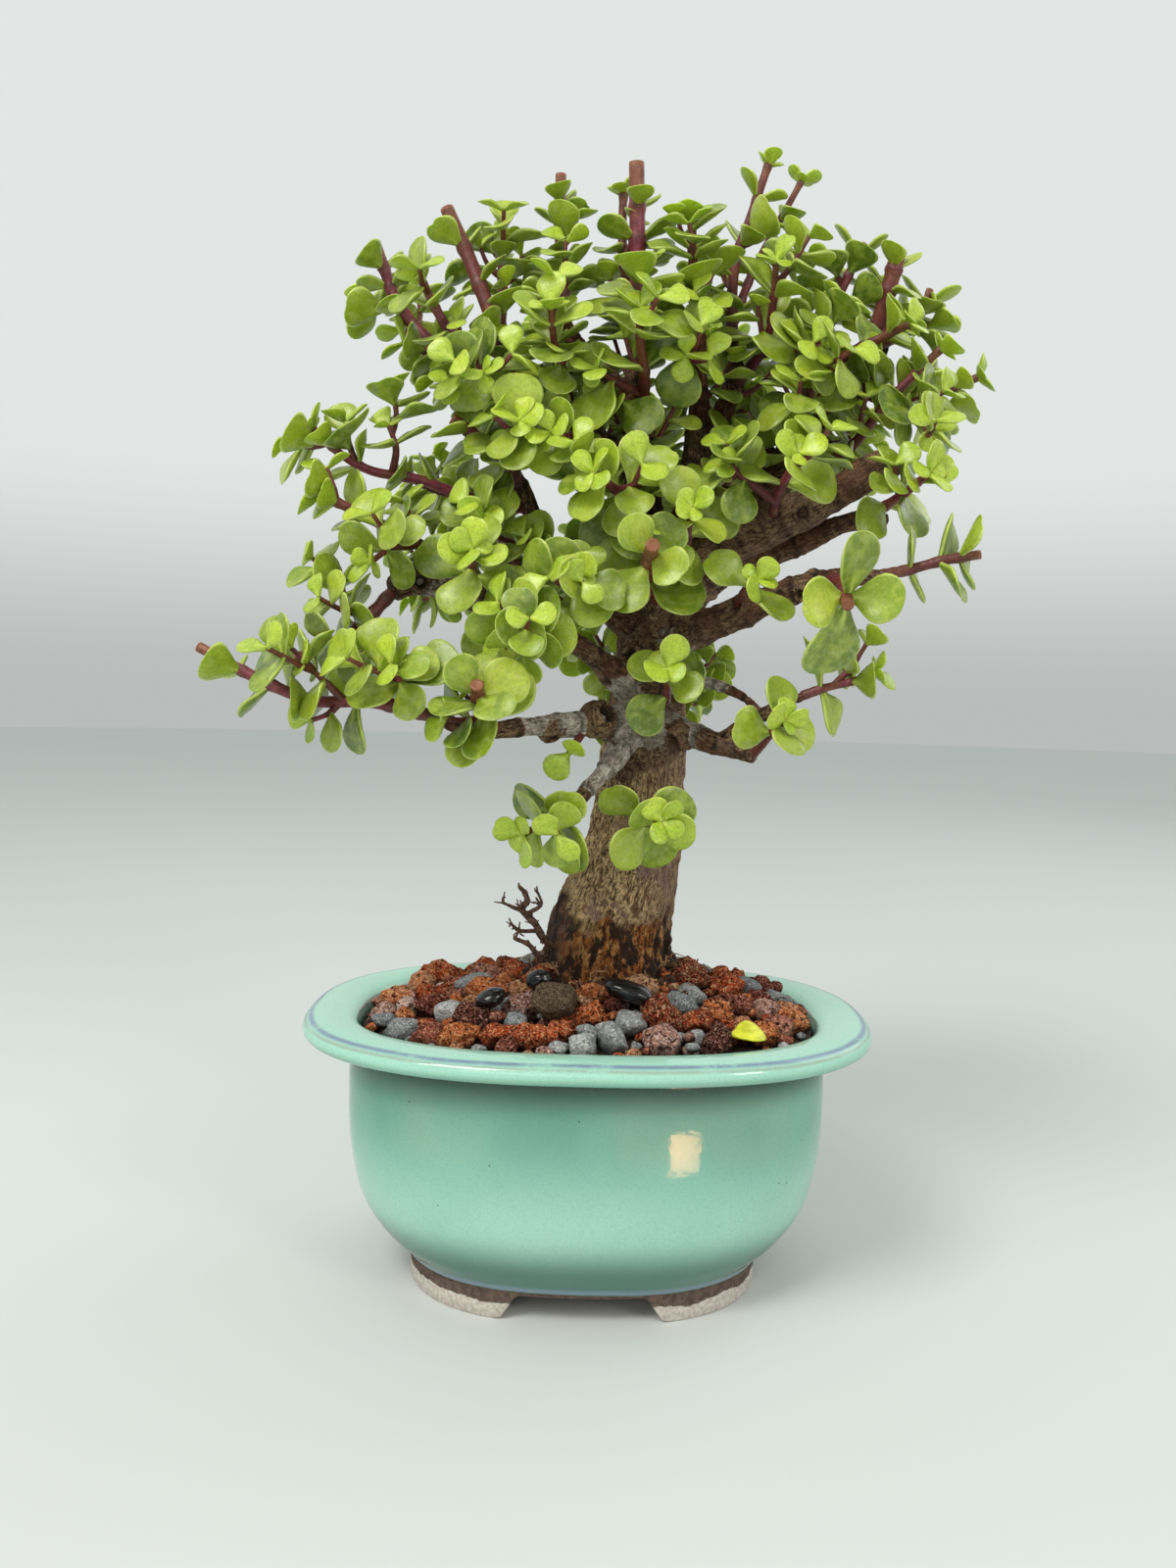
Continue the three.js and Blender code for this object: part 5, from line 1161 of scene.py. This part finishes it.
def build_stones(materials):
    shapes = {kind: Shape() for kind in STONE_KINDS}
    rng = np.random.default_rng(8)
    for number, (x, y, z, r) in enumerate(stone_places()):
        shares = (0.34, 0.46, 0.1, 0.1) if y < -32 and r < 6.2 else (0.6, 0.14, 0.08, 0.18)
        kind = STONE_KINDS[rng.choice(4, p=shares)]
        front = y < 10
        level = 4 if r > 5.0 and front else 3 if r > 3.0 else 2
        verts, faces = stone_shape(kind, r * STONE_SWELL, number * 13 + 7, level)
        turn = rng.uniform(0, 2 * math.pi)
        c, s = math.cos(turn), math.sin(turn)
        verts = verts @ np.array([[c, s, 0], [-s, c, 0], [0, 0, 1]]) + (x, y, z)
        # stone_low is how low each point sits on its stone, for the painted shade there.
        shapes[kind].add(verts, faces, stone_chance=rng.uniform(0, 1), stone_low=(z - verts[:, 2]) / r)
    for kind, shape in shapes.items():
        make_piece("grit_" + kind, shape, [materials[kind]])
    for number, (kind, x, y, z, sizes, turn, tilt) in enumerate(MARKED_STONES):
        shape = Shape()
        verts, faces = ball(5)
        radius = 1 + 0.16 * noise(verts + number * 5, 0.9, 40 + number, 2)
        if kind == "olive":
            radius += 0.14 * noise(verts, 0.32, 9, 3)
            for way in unit(np.array([(0.3, -1, 0.9), (-1, -0.6, 0.4), (1, -0.7, 0.1), (0.1, 0.2, 1)])):
                reach = verts @ way
                radius = np.where(reach * radius > 0.84, 0.84 / np.maximum(reach, 0.3), radius)
        a, b = math.radians(turn), math.radians(tilt)
        lean = np.array([[math.cos(b), 0, -math.sin(b)], [0, 1, 0], [math.sin(b), 0, math.cos(b)]])
        spin = np.array([[math.cos(a), math.sin(a), 0], [-math.sin(a), math.cos(a), 0], [0, 0, 1]])
        verts = (verts * radius[:, None] * sizes) @ spin @ lean + (x, y, z)
        shape.add(verts, faces, stone_chance=0.5, stone_low=-1.0)
        make_piece(f"stone_{kind}_{number}", shape, [materials[kind]])


def build_crumbs(material):
    """Dark lumps of old soil around the root collar."""
    shape = Shape()
    rng = np.random.default_rng(33)
    for number in range(CRUMBS):
        a = rng.uniform(0, 2 * math.pi)
        far = rng.uniform(23, 34) if number % 3 else rng.uniform(23, 40)
        x, y = COLLAR[0] + far * math.cos(a), COLLAR[1] + far * 0.92 * math.sin(a)
        size = rng.uniform(1.0, 2.9)
        verts, faces = stone_shape("lava", size, 5000 + number, 3 if size > 1.8 else 2)
        shape.add(verts + (x, y, mound_height(x, y) + rng.uniform(0.6, 3.6) - 0.1 * (far - 23)), faces)
    make_piece("soil_crumbs", shape, [material])


def build_rootlets(material):
    """Fine dead roots that curl over the grit around the collar."""
    shape = Shape()
    rng = np.random.default_rng(21)
    for _ in range(ROOTLETS):
        a = rng.uniform(0, 2 * math.pi)
        far = rng.uniform(22, 31)
        p = np.array([COLLAR[0] + far * math.cos(a), COLLAR[1] + far * 0.95 * math.sin(a), 0.0])
        p[2] = mound_height(p[0], p[1]) + rng.uniform(2.5, 5)
        way = np.array([math.cos(a), math.sin(a), rng.uniform(-0.2, 0.5)]) + rng.normal(size=3) * 0.6
        points = [p]
        for _ in range(4):
            way = unit(way + rng.normal(size=3) * 0.75)
            p = p + way * rng.uniform(1.4, 3.2)
            p[2] = min(max(p[2], mound_height(p[0], p[1]) + 2.2), mound_height(p[0], p[1]) + 8)
            points.append(p)
        thin_tube(shape, points, rng.uniform(0.25, 0.5), 5, 0.5)
    make_piece("rootlets", shape, [material])


# ------------------------------------------------------------------ leaves


def place_leaf(point, tangent, around, lift, length, roll, sunk):
    """One leaf's root and directions, by the CAD's rule; around and lift are in degrees."""
    outward = unit(point - CANOPY_HEART)
    out = around_stem(tangent, math.radians(around))
    lift = math.radians(lift)
    along = unit(out * math.cos(lift) + tangent * math.sin(lift))
    facing = tangent * 0.55 + UP * 0.3 + outward * 0.75
    up = unit(facing - along * (facing @ along))
    up = up * math.cos(roll) + np.cross(along, up) * math.sin(roll)
    return {"root": point - along * sunk, "along": along, "up": up, "across": np.cross(up, along),
            "length": length}


def in_node(leaf, tree):
    """True where the CAD node's mesh has at least two of this leaf's five corners."""
    half = leaf["length"] * LEAF["slim"]
    corners = [(leaf["length"] * LEAF["crown"], 0.0, LEAF["thick"] - LEAF["back"])]
    for f, w in LEAF_OUTLINE:
        corners += [(f * leaf["length"], side * w * half, -LEAF["back"]) for side in (-1, 1)]
    found = 0
    for u, v, w in corners:
        p = leaf["root"] + leaf["along"] * u + leaf["across"] * v + leaf["up"] * w
        if tree.find(p)[2] < 0.05:
            found += 1
    return found >= 2


def node_points(name):
    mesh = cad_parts[name].data
    tree = kdtree.KDTree(len(mesh.vertices))
    for i, vertex in enumerate(mesh.vertices):
        tree.insert((np.array(vertex.co[:]) - CENTRE) / MM, i)
    tree.balance()
    return tree


def leaves_of_stem(s, index, stem, tree):
    """The leaves whose corners show in the CAD node, each with its age from 0, young, to 1.

    Six leaves of the solids show too few corners and are left out.
    """
    points, d_base, d_tip, length, pairs, start, turn, end = stem
    route = Route([(*p, 0) for p in points])
    bud = end == "bud"
    last = LAST_PAIR[end]
    leaves = []
    for i in range(pairs):
        g = 1.0 if pairs == 1 else i / (pairs - 1)
        at = start + (last - start) * (1 - (1 - g) ** 1.25)
        point, tangent = route.point(at), route.tangent(at)
        sunk = (d_base + (d_tip - d_base) * at) * -0.06
        young = 1 - 0.42 * max(0.0, g * 1.6 - 0.6) if bud else 1 - 0.16 * g
        for k in (0, 1):
            draw = [scatter(s * 7 + index * 3 + 1, i * 2 + k + 1, n) - 0.5 for n in range(6)]
            around = turn + i * 90 + k * 180 + draw[1] * 24
            lift = 12 + 30 * g * (1 if bud else 0.5) + draw[2] * 24
            size = length * young * (0.9 + 0.3 * (draw[3] + 0.5))
            for turn_by, lift_by, share in BENDS:
                leaf = place_leaf(point, tangent, around + turn_by, lift + lift_by, size * share,
                                  draw[4] * 0.7, sunk)
                if in_node(leaf, tree):
                    leaf["age"] = 1 - g * (0.9 if bud else 0.45)
                    leaf["at"] = at
                    leaves.append(leaf)
                    break
    return leaves, route


def blade_width(f):
    """Half width along a leaf: a wedge from a narrow stalk, then a round end."""
    widest = 0.66
    wedge = 0.1 + 0.9 * np.sin(np.clip(f / widest, 0, 1) * math.pi / 2) ** 2.0
    end = np.sqrt(np.clip(1 - ((f - widest) / (1 - widest)) ** 2, 0, 1)) ** 0.92
    return np.where(f < widest, wedge, end)


def add_leaf(shape, leaf, seed):
    """A thick, rounded, slightly folded blade."""
    rows, ring = (SMALL_ROWS, SMALL_RING) if leaf["length"] < 11.5 else (LEAF_ROWS, LEAF_RING)
    rng = np.random.default_rng(seed)
    length = leaf["length"]
    half = length * LEAF["slim"] * rng.uniform(0.9, 1.06)
    f = np.sin(np.linspace(0, 1, rows) * math.pi / 2) ** 1.08
    phi = np.arange(ring) / ring * 2 * math.pi
    cos, sin = np.cos(phi), np.sin(phi)
    v = np.sign(cos) * np.abs(cos) ** 0.85
    width = blade_width(f) * half
    width[-1] = half * 0.04
    thick = min(2.3, 0.8 + length * 0.09)
    depth = thick * (0.62 + 0.38 * np.sin(np.clip(f, 0, 1) * math.pi)) * np.clip((1.02 - f) * 4, 0.3, 1)
    depth[0] = thick * 0.55
    y = width[:, None] * v[None, :]
    z = 0.5 * depth[:, None] * (np.sign(sin) * np.abs(sin) ** 0.75)[None, :]
    # Creased near the stalk, cupped across, arched along, with a slight wave of the rim.
    cup, crease = rng.uniform(0.02, 0.3), rng.uniform(0.1, 0.38)
    arch = rng.uniform(-0.2, 0.08)
    soft = np.sqrt((y / half) ** 2 + 0.012)
    z = z + half * cup * (y / half) ** 2 + half * crease * soft * ((1 - f) ** 1.2)[:, None]
    z = z + length * arch * (f ** 2)[:, None]
    wave = rng.uniform(0.02, 0.14) * half
    z = z + wave * np.sin(f * 5 + rng.uniform(0, 6))[:, None] * (y / half)
    lean = rng.normal() * 0.06
    y = y + length * lean * (f ** 2)[:, None]
    notch = rng.uniform(0, 0.07) if rng.uniform() < 0.5 else 0
    u = np.repeat((f * length)[:, None], ring, 1)
    u = u - notch * length * np.exp(-(y / (half * 0.25)) ** 2) * (f ** 6)[:, None]
    twist = rng.normal() * 0.12 * f[:, None]
    y, z = y * np.cos(twist) - z * np.sin(twist), y * np.sin(twist) + z * np.cos(twist)
    base = leaf["root"][None, None] - leaf["along"] * 0.6
    verts = base + u[..., None] * leaf["along"] + y[..., None] * leaf["across"] + z[..., None] * leaf["up"]
    verts = verts.reshape(-1, 3)
    tip = len(verts)
    verts = np.vstack([verts, verts[-ring:].mean(0) + leaf["along"] * length * 0.012, verts[:ring].mean(0)])
    faces = grid_faces(rows, ring)
    around = np.arange(ring)
    last = (rows - 1) * ring
    end = np.stack([last + around, last + (around + 1) % ring, np.full(ring, tip)], 1)
    shut = np.stack([(around + 1) % ring, around, np.full(ring, tip + 1)], 1)
    us = np.append(np.repeat(f, ring), [1, 0])
    vs = np.append(np.tile(v, rows), [0, 0])
    values = {"leaf_u": us, "leaf_v": vs, "leaf_age": leaf["age"], "leaf_chance": rng.uniform(0, 1)}
    start = shape.count
    shape.add(verts, faces, 0, **values)
    for block in (end, shut):
        shape.faces.append(block + start)
        shape.slots.append(np.zeros(ring))


class Clearance:
    """The blades and stems placed so far, to test new ones against.

    A blade is tested by sample points of a plain one, so leaves can still cut into each other.
    The leaves at growing tips aren't in it.
    """

    def __init__(self):
        steps = [(f, v) for f in (0.3, 0.5, 0.7, 0.9, 1.0) for v in (-0.9, -0.45, 0, 0.45, 0.9)]
        self.f = np.array([f for f, _ in steps])
        self.v = np.array([v * float(blade_width(np.array(min(f, 0.97)))) for f, v in steps])
        self.roots, self.axes, self.lengths, self.spots = [], [], [], []
        self.ends, self.radii = [], []
        self.kept = None

    def spots_of(self, leaf):
        across = self.v * leaf["length"] * LEAF_HALF
        middle = leaf["root"] + np.outer(self.f * leaf["length"], leaf["along"])
        return middle + np.outer(across, leaf["across"])

    def add(self, leaf):
        self.roots.append(leaf["root"])
        self.axes.append((leaf["along"], leaf["across"], leaf["up"]))
        self.lengths.append(leaf["length"])
        self.spots.append(self.spots_of(leaf))
        self.kept = None

    def add_path(self, points, radii):
        for a, b, ra, rb in zip(points[:-1], points[1:], radii[:-1], radii[1:]):
            self.ends.append((a, b))
            self.radii.append((ra + rb) / 2)
        self.kept = None

    def arrays(self):
        if self.kept is None:
            ends = np.array(self.ends)
            self.kept = ends, ends.mean(1), np.array(self.radii), np.array(self.roots)
        return self.kept

    def hits_blade(self, spots, root, axes, length, margin):
        """True where any spot lies within the margin of the blade at root."""
        local = np.einsum("...pi,...ji->...pj", spots - root, axes)
        u = local[..., 0] / length
        wide = blade_width(np.clip(u, 0, 0.97)) * length * LEAF_HALF + margin * 0.5
        across, off = np.abs(local[..., 1]), np.abs(local[..., 2])
        return np.any((u > 0.2) & (u < 1.04) & (across < wide) & (off < LEAF_HALF_DEPTH + margin))

    def near_stems(self, spots, margin):
        ends, middles, radii, _ = self.arrays()
        near = np.sum((middles - spots.mean(0)) ** 2, axis=1) < 24 ** 2
        a, d = ends[near, 0][:, None], (ends[near, 1] - ends[near, 0])[:, None]
        q = spots[None] - a
        t = np.clip(np.sum(q * d, axis=2) / np.sum(d * d, axis=2), 0, 1)
        gap = np.linalg.norm(q - t[..., None] * d, axis=2)
        return bool(np.any(gap < radii[near][:, None] + margin))

    def near_blades(self, point, reach):
        return np.nonzero(np.sum((self.arrays()[3] - point) ** 2, axis=1) < reach ** 2)[0]

    def leaf_fits(self, leaf, margin=0.6):
        own = self.spots_of(leaf)
        if own[:, 2].min() < LOWEST_LEAF or self.near_stems(own[self.f >= 0.5], margin + 0.4):
            return False
        axes = np.array([leaf["along"], leaf["across"], leaf["up"]])
        for i in self.near_blades(leaf["root"], leaf["length"] + 21):
            if self.hits_blade(own, self.roots[i], np.array(self.axes[i]), self.lengths[i], margin):
                return False
            if self.hits_blade(self.spots[i], leaf["root"], axes, leaf["length"], margin):
                return False
        return True

    def stem_fits(self, points, radius):
        if self.near_stems(points[1:], radius + 0.8):
            return False
        for i in self.near_blades(points[-1], 30):
            if self.hits_blade(points[1:], self.roots[i], np.array(self.axes[i]), self.lengths[i], radius):
                return False
        return True


def add_stem(shape, route, d_base, d_tip, nodes, end, chance, sides=9):
    """A round stem, swollen and ringed where its leaf pairs grow; a pruned one ends flat and dry."""
    ts, centres, tangents = path_samples(route, 1.1)
    run = route.length()
    radii, rings = [], []
    for t in ts:
        r = (d_base + (d_tip - d_base) * t) / 2
        swell = max([math.exp(-((t - n) * run / 1.5) ** 2) for n in nodes] or [0])
        ring = max([math.exp(-((t - n) * run / 0.7) ** 2) for n in nodes] or [0])
        radii.append(r * (1 + 0.2 * swell))
        rings.append(ring)
    rows = tube(centres, carried_frames(tangents), np.array(radii), sides)
    cut = end == "cut"
    verts, faces = capped(rows, -0.25 if cut else d_tip * 0.4, tangents)
    dry = smoothstep((1 - ts) * run, 1.6, 0.4) if cut else np.zeros(len(ts))

    def spread(values):
        return np.repeat(np.concatenate([[values[0]] * 2, values, [values[-1]] * 2]), sides)

    shape.add(verts, faces, 1, stem_along=spread(ts), stem_ring=spread(rings), stem_cut=spread(dry),
              leaf_chance=chance)


def grow_twig(point, tangent, angle, rng, size, clearance):
    """A side twig with its leaf pairs, or None where there is no room for it.

    The last pair isn't tested for room, so its leaves may cut into others.
    """
    lift = math.radians(rng.uniform(25, 62))
    way = unit(around_stem(tangent, angle) * math.cos(lift) + tangent * math.sin(lift))
    outward = unit(point - CANOPY_HEART)
    bend = unit(way + UP * 0.45 + outward * 0.35 + rng.normal(size=3) * 0.15)
    elbow = point + way * size * 0.45
    route = Route([(*p, 0) for p in (point, elbow, elbow + bend * size * 0.55)])
    points = np.array([route.point(t) for t in (0.3, 0.5, 0.75, 1.0)])
    if points[-1][2] > TWIG_TOP or not clearance.stem_fits(points, 1.1):
        return None
    low, high = (BOX_LOW - CENTRE) / MM, (BOX_HIGH - CENTRE) / MM
    pairs = 1 if size < 12.5 else 2
    turn = rng.uniform(0, 180)
    leaves = []
    for i in range(pairs + 1):
        g = i / pairs
        at = 0.4 + 0.58 * g
        at_point, at_tangent = route.point(at), route.tangent(at)
        length = rng.uniform(14.5, 18.5) * (1 - 0.4 * g ** 1.6)
        for k in (0, 180):
            for turn_by, lift_by, share in BENDS[:9]:
                leaf = place_leaf(at_point, at_tangent, turn + i * 90 + k + turn_by + rng.normal() * 8,
                                  12 + 16 * g + lift_by, length * share, rng.normal() * 0.25, -0.1)
                reach = clearance.spots_of(leaf)
                inside = np.all(reach > low + 0.6) and np.all(reach < high - 0.6)
                if inside and (g == 1 or clearance.leaf_fits(leaf)):
                    leaf["age"], leaf["at"] = 0.25 + 0.65 * (1 - g) + rng.uniform(-0.15, 0.15), at
                    leaves.append(leaf)
                    break
    if len(leaves) < 2 * pairs + 1:
        return None
    for leaf in leaves:
        clearance.add(leaf)
    clearance.add_path(points, [1.0] * 4)
    return route, leaves


def grow_twigs(seed, stems, wanted, clearance, woody=False):
    """Side twigs in the axils along some stems, given as routes and how far along they may grow."""
    rng = np.random.default_rng(seed)
    twigs = []
    for _ in range(wanted * TWIG_TRIES):
        if len(twigs) == wanted:
            break
        route, low, high = stems[rng.integers(len(stems))]
        t = rng.uniform(low, high)
        point, tangent = route.point(t), route.tangent(t)
        size = rng.uniform(9, 19) + (route.radius(t) + 3 if woody else 0)
        twig = grow_twig(point, tangent, rng.uniform(0, 2 * math.pi), rng, size, clearance)
        if twig:
            twigs.append(twig)
    return twigs


def add_twigs(shape, twigs, seed):
    for number, (route, leaves) in enumerate(twigs):
        nodes = sorted({leaf["at"] for leaf in leaves})
        add_stem(shape, route, 2.3, 1.3, [0.2, *nodes], "bud", scatter(seed, number, 9), 7)
        for i, leaf in enumerate(leaves):
            add_leaf(shape, leaf, seed * 1000 + number * 20 + i)


def build_foliage(leaf_look, stem_look):
    clearance = Clearance()
    wood = [Route(points) for points in [TRUNK, *BRANCHES]]
    for route in wood:
        ts, centres, _ = path_samples(route, 8)
        clearance.add_path(centres, [route.radius(t) for t in ts])
    shoots = []
    for s, (name, stems) in enumerate(SHOOTS.items()):
        tree = node_points("shoot_" + name)
        grown = []
        for index, stem in enumerate(stems):
            leaves, route = leaves_of_stem(s, index, stem, tree)
            grown.append((index, stem, route, leaves))
            ts, centres, _ = path_samples(route, 5)
            clearance.add_path(centres, [(stem[1] + (stem[2] - stem[1]) * t) / 2 for t in ts])
            for leaf in leaves:
                clearance.add(leaf)
        shoots.append((s, name, grown))
    for s, name, grown in shoots:
        shape = Shape()
        for index, stem, route, leaves in grown:
            _, d_base, d_tip, _, pairs, *_, end = stem
            nodes = sorted({leaf["at"] for leaf in leaves})
            rings = list(np.arange(0.06, nodes[0] if nodes else 1, 0.11))
            add_stem(shape, route, d_base, d_tip, rings + nodes, end, scatter(s, index, 9))
            if end == "bud" and pairs > 1:
                leaves = leaves + tip_leaves(stem, route, s * 50 + index)
            for number, leaf in enumerate(leaves):
                add_leaf(shape, leaf, s * 1000 + index * 100 + number)
        wanted = TWIGS.get(name, BACK_TWIGS if name.startswith("back") else 0)
        stems = [(route, 0.2, 0.95 if stem[7] == "bud" else 0.5) for _, stem, route, _ in grown]
        twigs = grow_twigs(s + 300, stems, wanted, clearance)
        add_twigs(shape, twigs, s + 300)
        make_piece("foliage_" + name, shape, [leaf_look, stem_look], ["shoot_" + name])
    for number, wanted in WOODY_TWIGS.items():
        twigs = grow_twigs(number + 500, [(wood[number + 1], 0.25, 0.95)], wanted, clearance, woody=True)
        if twigs:
            shape = Shape()
            add_twigs(shape, twigs, number + 500)
            make_piece(f"twigs_of_branch_{number}", shape, [leaf_look, stem_look])


def tip_leaves(stem, route, seed):
    """The small pair that opens at a growing tip, on some with a folded pair inside it.

    These leaves aren't tested for room either.
    """
    _, _, _, length, pairs, _, turn, _ = stem
    rng = np.random.default_rng(seed)
    out = []
    opening = [(0, 24, 0.5, 0.05), (180, 18, 0.44, 0.05)]
    if rng.uniform() < 0.15:
        opening += [(90, 80, 0.13, 0), (270, 80, 0.12, 0)]
    for k, lift, share, age in opening:
        size = length * share * rng.uniform(0.85, 1.15)
        around = turn + pairs * 90 + k + rng.normal() * 10
        leaf = place_leaf(route.point(1), route.tangent(1), around, lift, size, rng.normal() * 0.2, 0.2)
        leaf["age"], leaf["at"] = age, 1.0
        out.append(leaf)
    return out


def build_fallen_leaf(material):
    x, y = FALLEN["at"]
    turn, tilt = math.radians(FALLEN["turn"]), math.radians(FALLEN["tilt"])
    along = np.array([math.cos(turn) * math.cos(tilt), math.sin(turn) * math.cos(tilt), math.sin(tilt)])
    up = unit(UP + np.array([0.0, -0.5, 0.0]))
    up = unit(up - along * (up @ along))
    root = np.array([x - FALLEN["length"] / 2, y, mound_height(x, y) + FALLEN["lift"]])
    leaf = {"root": root, "along": along, "up": up, "across": np.cross(up, along),
            "length": FALLEN["length"], "age": 0.1}
    shape = Shape()
    add_leaf(shape, leaf, 77)
    verts = shape.verts[0]
    rise = 0.9 * noise(verts, 5.0, 3, 2)
    shape.verts[0] = verts + up * (rise + 0.6)[:, None]
    make_piece("yellow_leaf", shape, [material], ["fallen_leaf"])


# ------------------------------------------------------------------ camera, light and floor


def build_camera():
    data = bpy.data.cameras.new("camera")
    data.sensor_fit = "VERTICAL"
    data.sensor_height = 36.0
    data.lens = FOCAL_PX / PHOTO_HEIGHT * data.sensor_height
    data.clip_start, data.clip_end = 0.01, 20
    camera = bpy.data.objects.new("camera", data)
    camera.location = Vector(CAMERA_AT) * MM + Vector(CENTRE)
    camera.rotation_euler = (math.pi / 2 - CAMERA_PITCH, CAMERA_ROLL, 0)
    camera.rotation_mode = "XYZ"
    bpy.context.scene.collection.objects.link(camera)
    bpy.context.scene.camera = camera


def area_light(name, at, target, size, power, colour):
    data = bpy.data.lights.new(name, "AREA")
    data.shape = "RECTANGLE"
    data.size, data.size_y = size
    data.energy, data.color = power, colour
    lamp = bpy.data.objects.new(name, data)
    lamp.location = at
    lamp.rotation_euler = (Vector(target) - Vector(at)).to_track_quat("-Z", "Y").to_euler()
    bpy.context.scene.collection.objects.link(lamp)
    return lamp


def build_stage(material):
    bpy.ops.mesh.primitive_circle_add(vertices=96, radius=6, fill_type="NGON")
    floor = bpy.context.active_object
    floor.name = "studio_floor"
    floor.data.materials.append(material)
    build_world()
    bpy.context.scene.view_settings.view_transform = "Standard"
    target = (0, 0, 0.2)
    area_light("key", (-0.7, -0.9, 1.5), target, (0.7, 0.7), 19, (1.0, 0.98, 0.93))
    area_light("front", (-0.35, -1.6, 0.75), target, (0.9, 0.5), 3, (1.0, 0.97, 0.92))
    area_light("window", (0.9, -1.0, 0.8), target, (0.3, 0.4), 4, (1.0, 0.96, 0.88))
    area_light("fill", (1.2, 0.8, 1.2), target, (1.0, 1.0), 4, (0.94, 0.97, 1.0))
    glint = area_light("glint", (0.072, -0.17, 0.004), (0.029, -0.058, 0.036), (0.033, 0.038), 0.0032,
                       (1.0, 0.46, 0.2))
    glint.data.spread = math.radians(36)
    glint.visible_diffuse = glint.visible_camera = False


def build_world():
    """A pale room: bright behind the tree and above it, dimmer on the camera's side."""
    world = bpy.data.worlds.new("studio")
    world.use_nodes = True
    tree = world.node_tree
    back = tree.nodes["Background"]
    back.inputs["Color"].default_value = (*rgb("e2e6e4"), 1)
    way = tree.nodes.new("ShaderNodeTexCoord")
    axes = tree.nodes.new("ShaderNodeSeparateXYZ")
    tree.links.new(way.outputs["Generated"], axes.inputs[0])
    both = tree.nodes.new("ShaderNodeMath")
    both.operation = "MULTIPLY"
    fades = (("Y", "LINEAR", -0.5, 0.45, 0.68), ("Z", "SMOOTHSTEP", 0.0, 0.2, HORIZON))
    for k, (axis, curve, *limits) in enumerate(fades):
        fade = tree.nodes.new("ShaderNodeMapRange")
        fade.interpolation_type = curve
        tree.links.new(axes.outputs[axis], fade.inputs["Value"])
        for name, value in zip(("From Min", "From Max", "To Min", "To Max"), (*limits, 1.0)):
            fade.inputs[name].default_value = value
        tree.links.new(fade.outputs["Result"], both.inputs[k])
    tree.links.new(both.outputs[0], back.inputs["Strength"])
    bpy.context.scene.world = world


# ------------------------------------------------------------------ assembly


def carried_over(material):
    """The drain screens keep their CAD shape."""
    for name in ("drain_screen_left", "drain_screen_right"):
        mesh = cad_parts[name].data
        mesh.materials.clear()
        mesh.materials.append(material)


def main():
    build_camera()
    leaf_look, stem_look, bark = leaf_material(), stem_material(), bark_material()
    dead_wood = plain_material("dead_wood", "2f1d16", "7a5a48", 900, 0.85)
    stones = {
        "lava": stone_material("lava", ("8a2a12", "d4531f", "f07f40", "f3b48a"), 0.92),
        "pumice": stone_material("pumice", ("868c8f", "acb2b3", "c8ccca", "e8e9e4"), 0.4, 1.3, 0.88),
        "tan": stone_material("tan_lava", ("a86a57", "d89b84", "ecbfaa", "f7decf"), 0.92),
        "dark": stone_material("dark_lava", ("50241b", "8c4030", "b8644c", "d6957e"), 0.92),
        "olive": stone_material("olive_stone", ("3b2f24", "5c4b39", "705d47", "8d785d"), 0.5, 1.5, 0.95),
        "gloss": plain_material("black_stone", "08080a", "17171b", 300, 0.18, 0.05),
    }
    build_pot(glaze_material())
    carried_over(plain_material("drain_mesh", "0b0c0c", "1a1c1b", 900, 0.55))
    build_soil_body(plain_material("fine_mix", "1d120d", "4c3024", 420, 0.95, 0.8))
    build_stones(stones)
    build_wood(bark)
    build_dead_twig(dead_wood)
    build_rootlets(plain_material("dry_roots", "5a3c26", "b48a62", 700, 0.9))
    build_crumbs(plain_material("old_soil", "140c07", "57381f", 520, 0.95, 0.9))
    build_foliage(leaf_look, stem_look)
    build_fallen_leaf(plain_material("yellow_leaf", "b9bd14", "e3e53a", 300, 0.42, 0.4))
    build_stage(floor_material())


main()
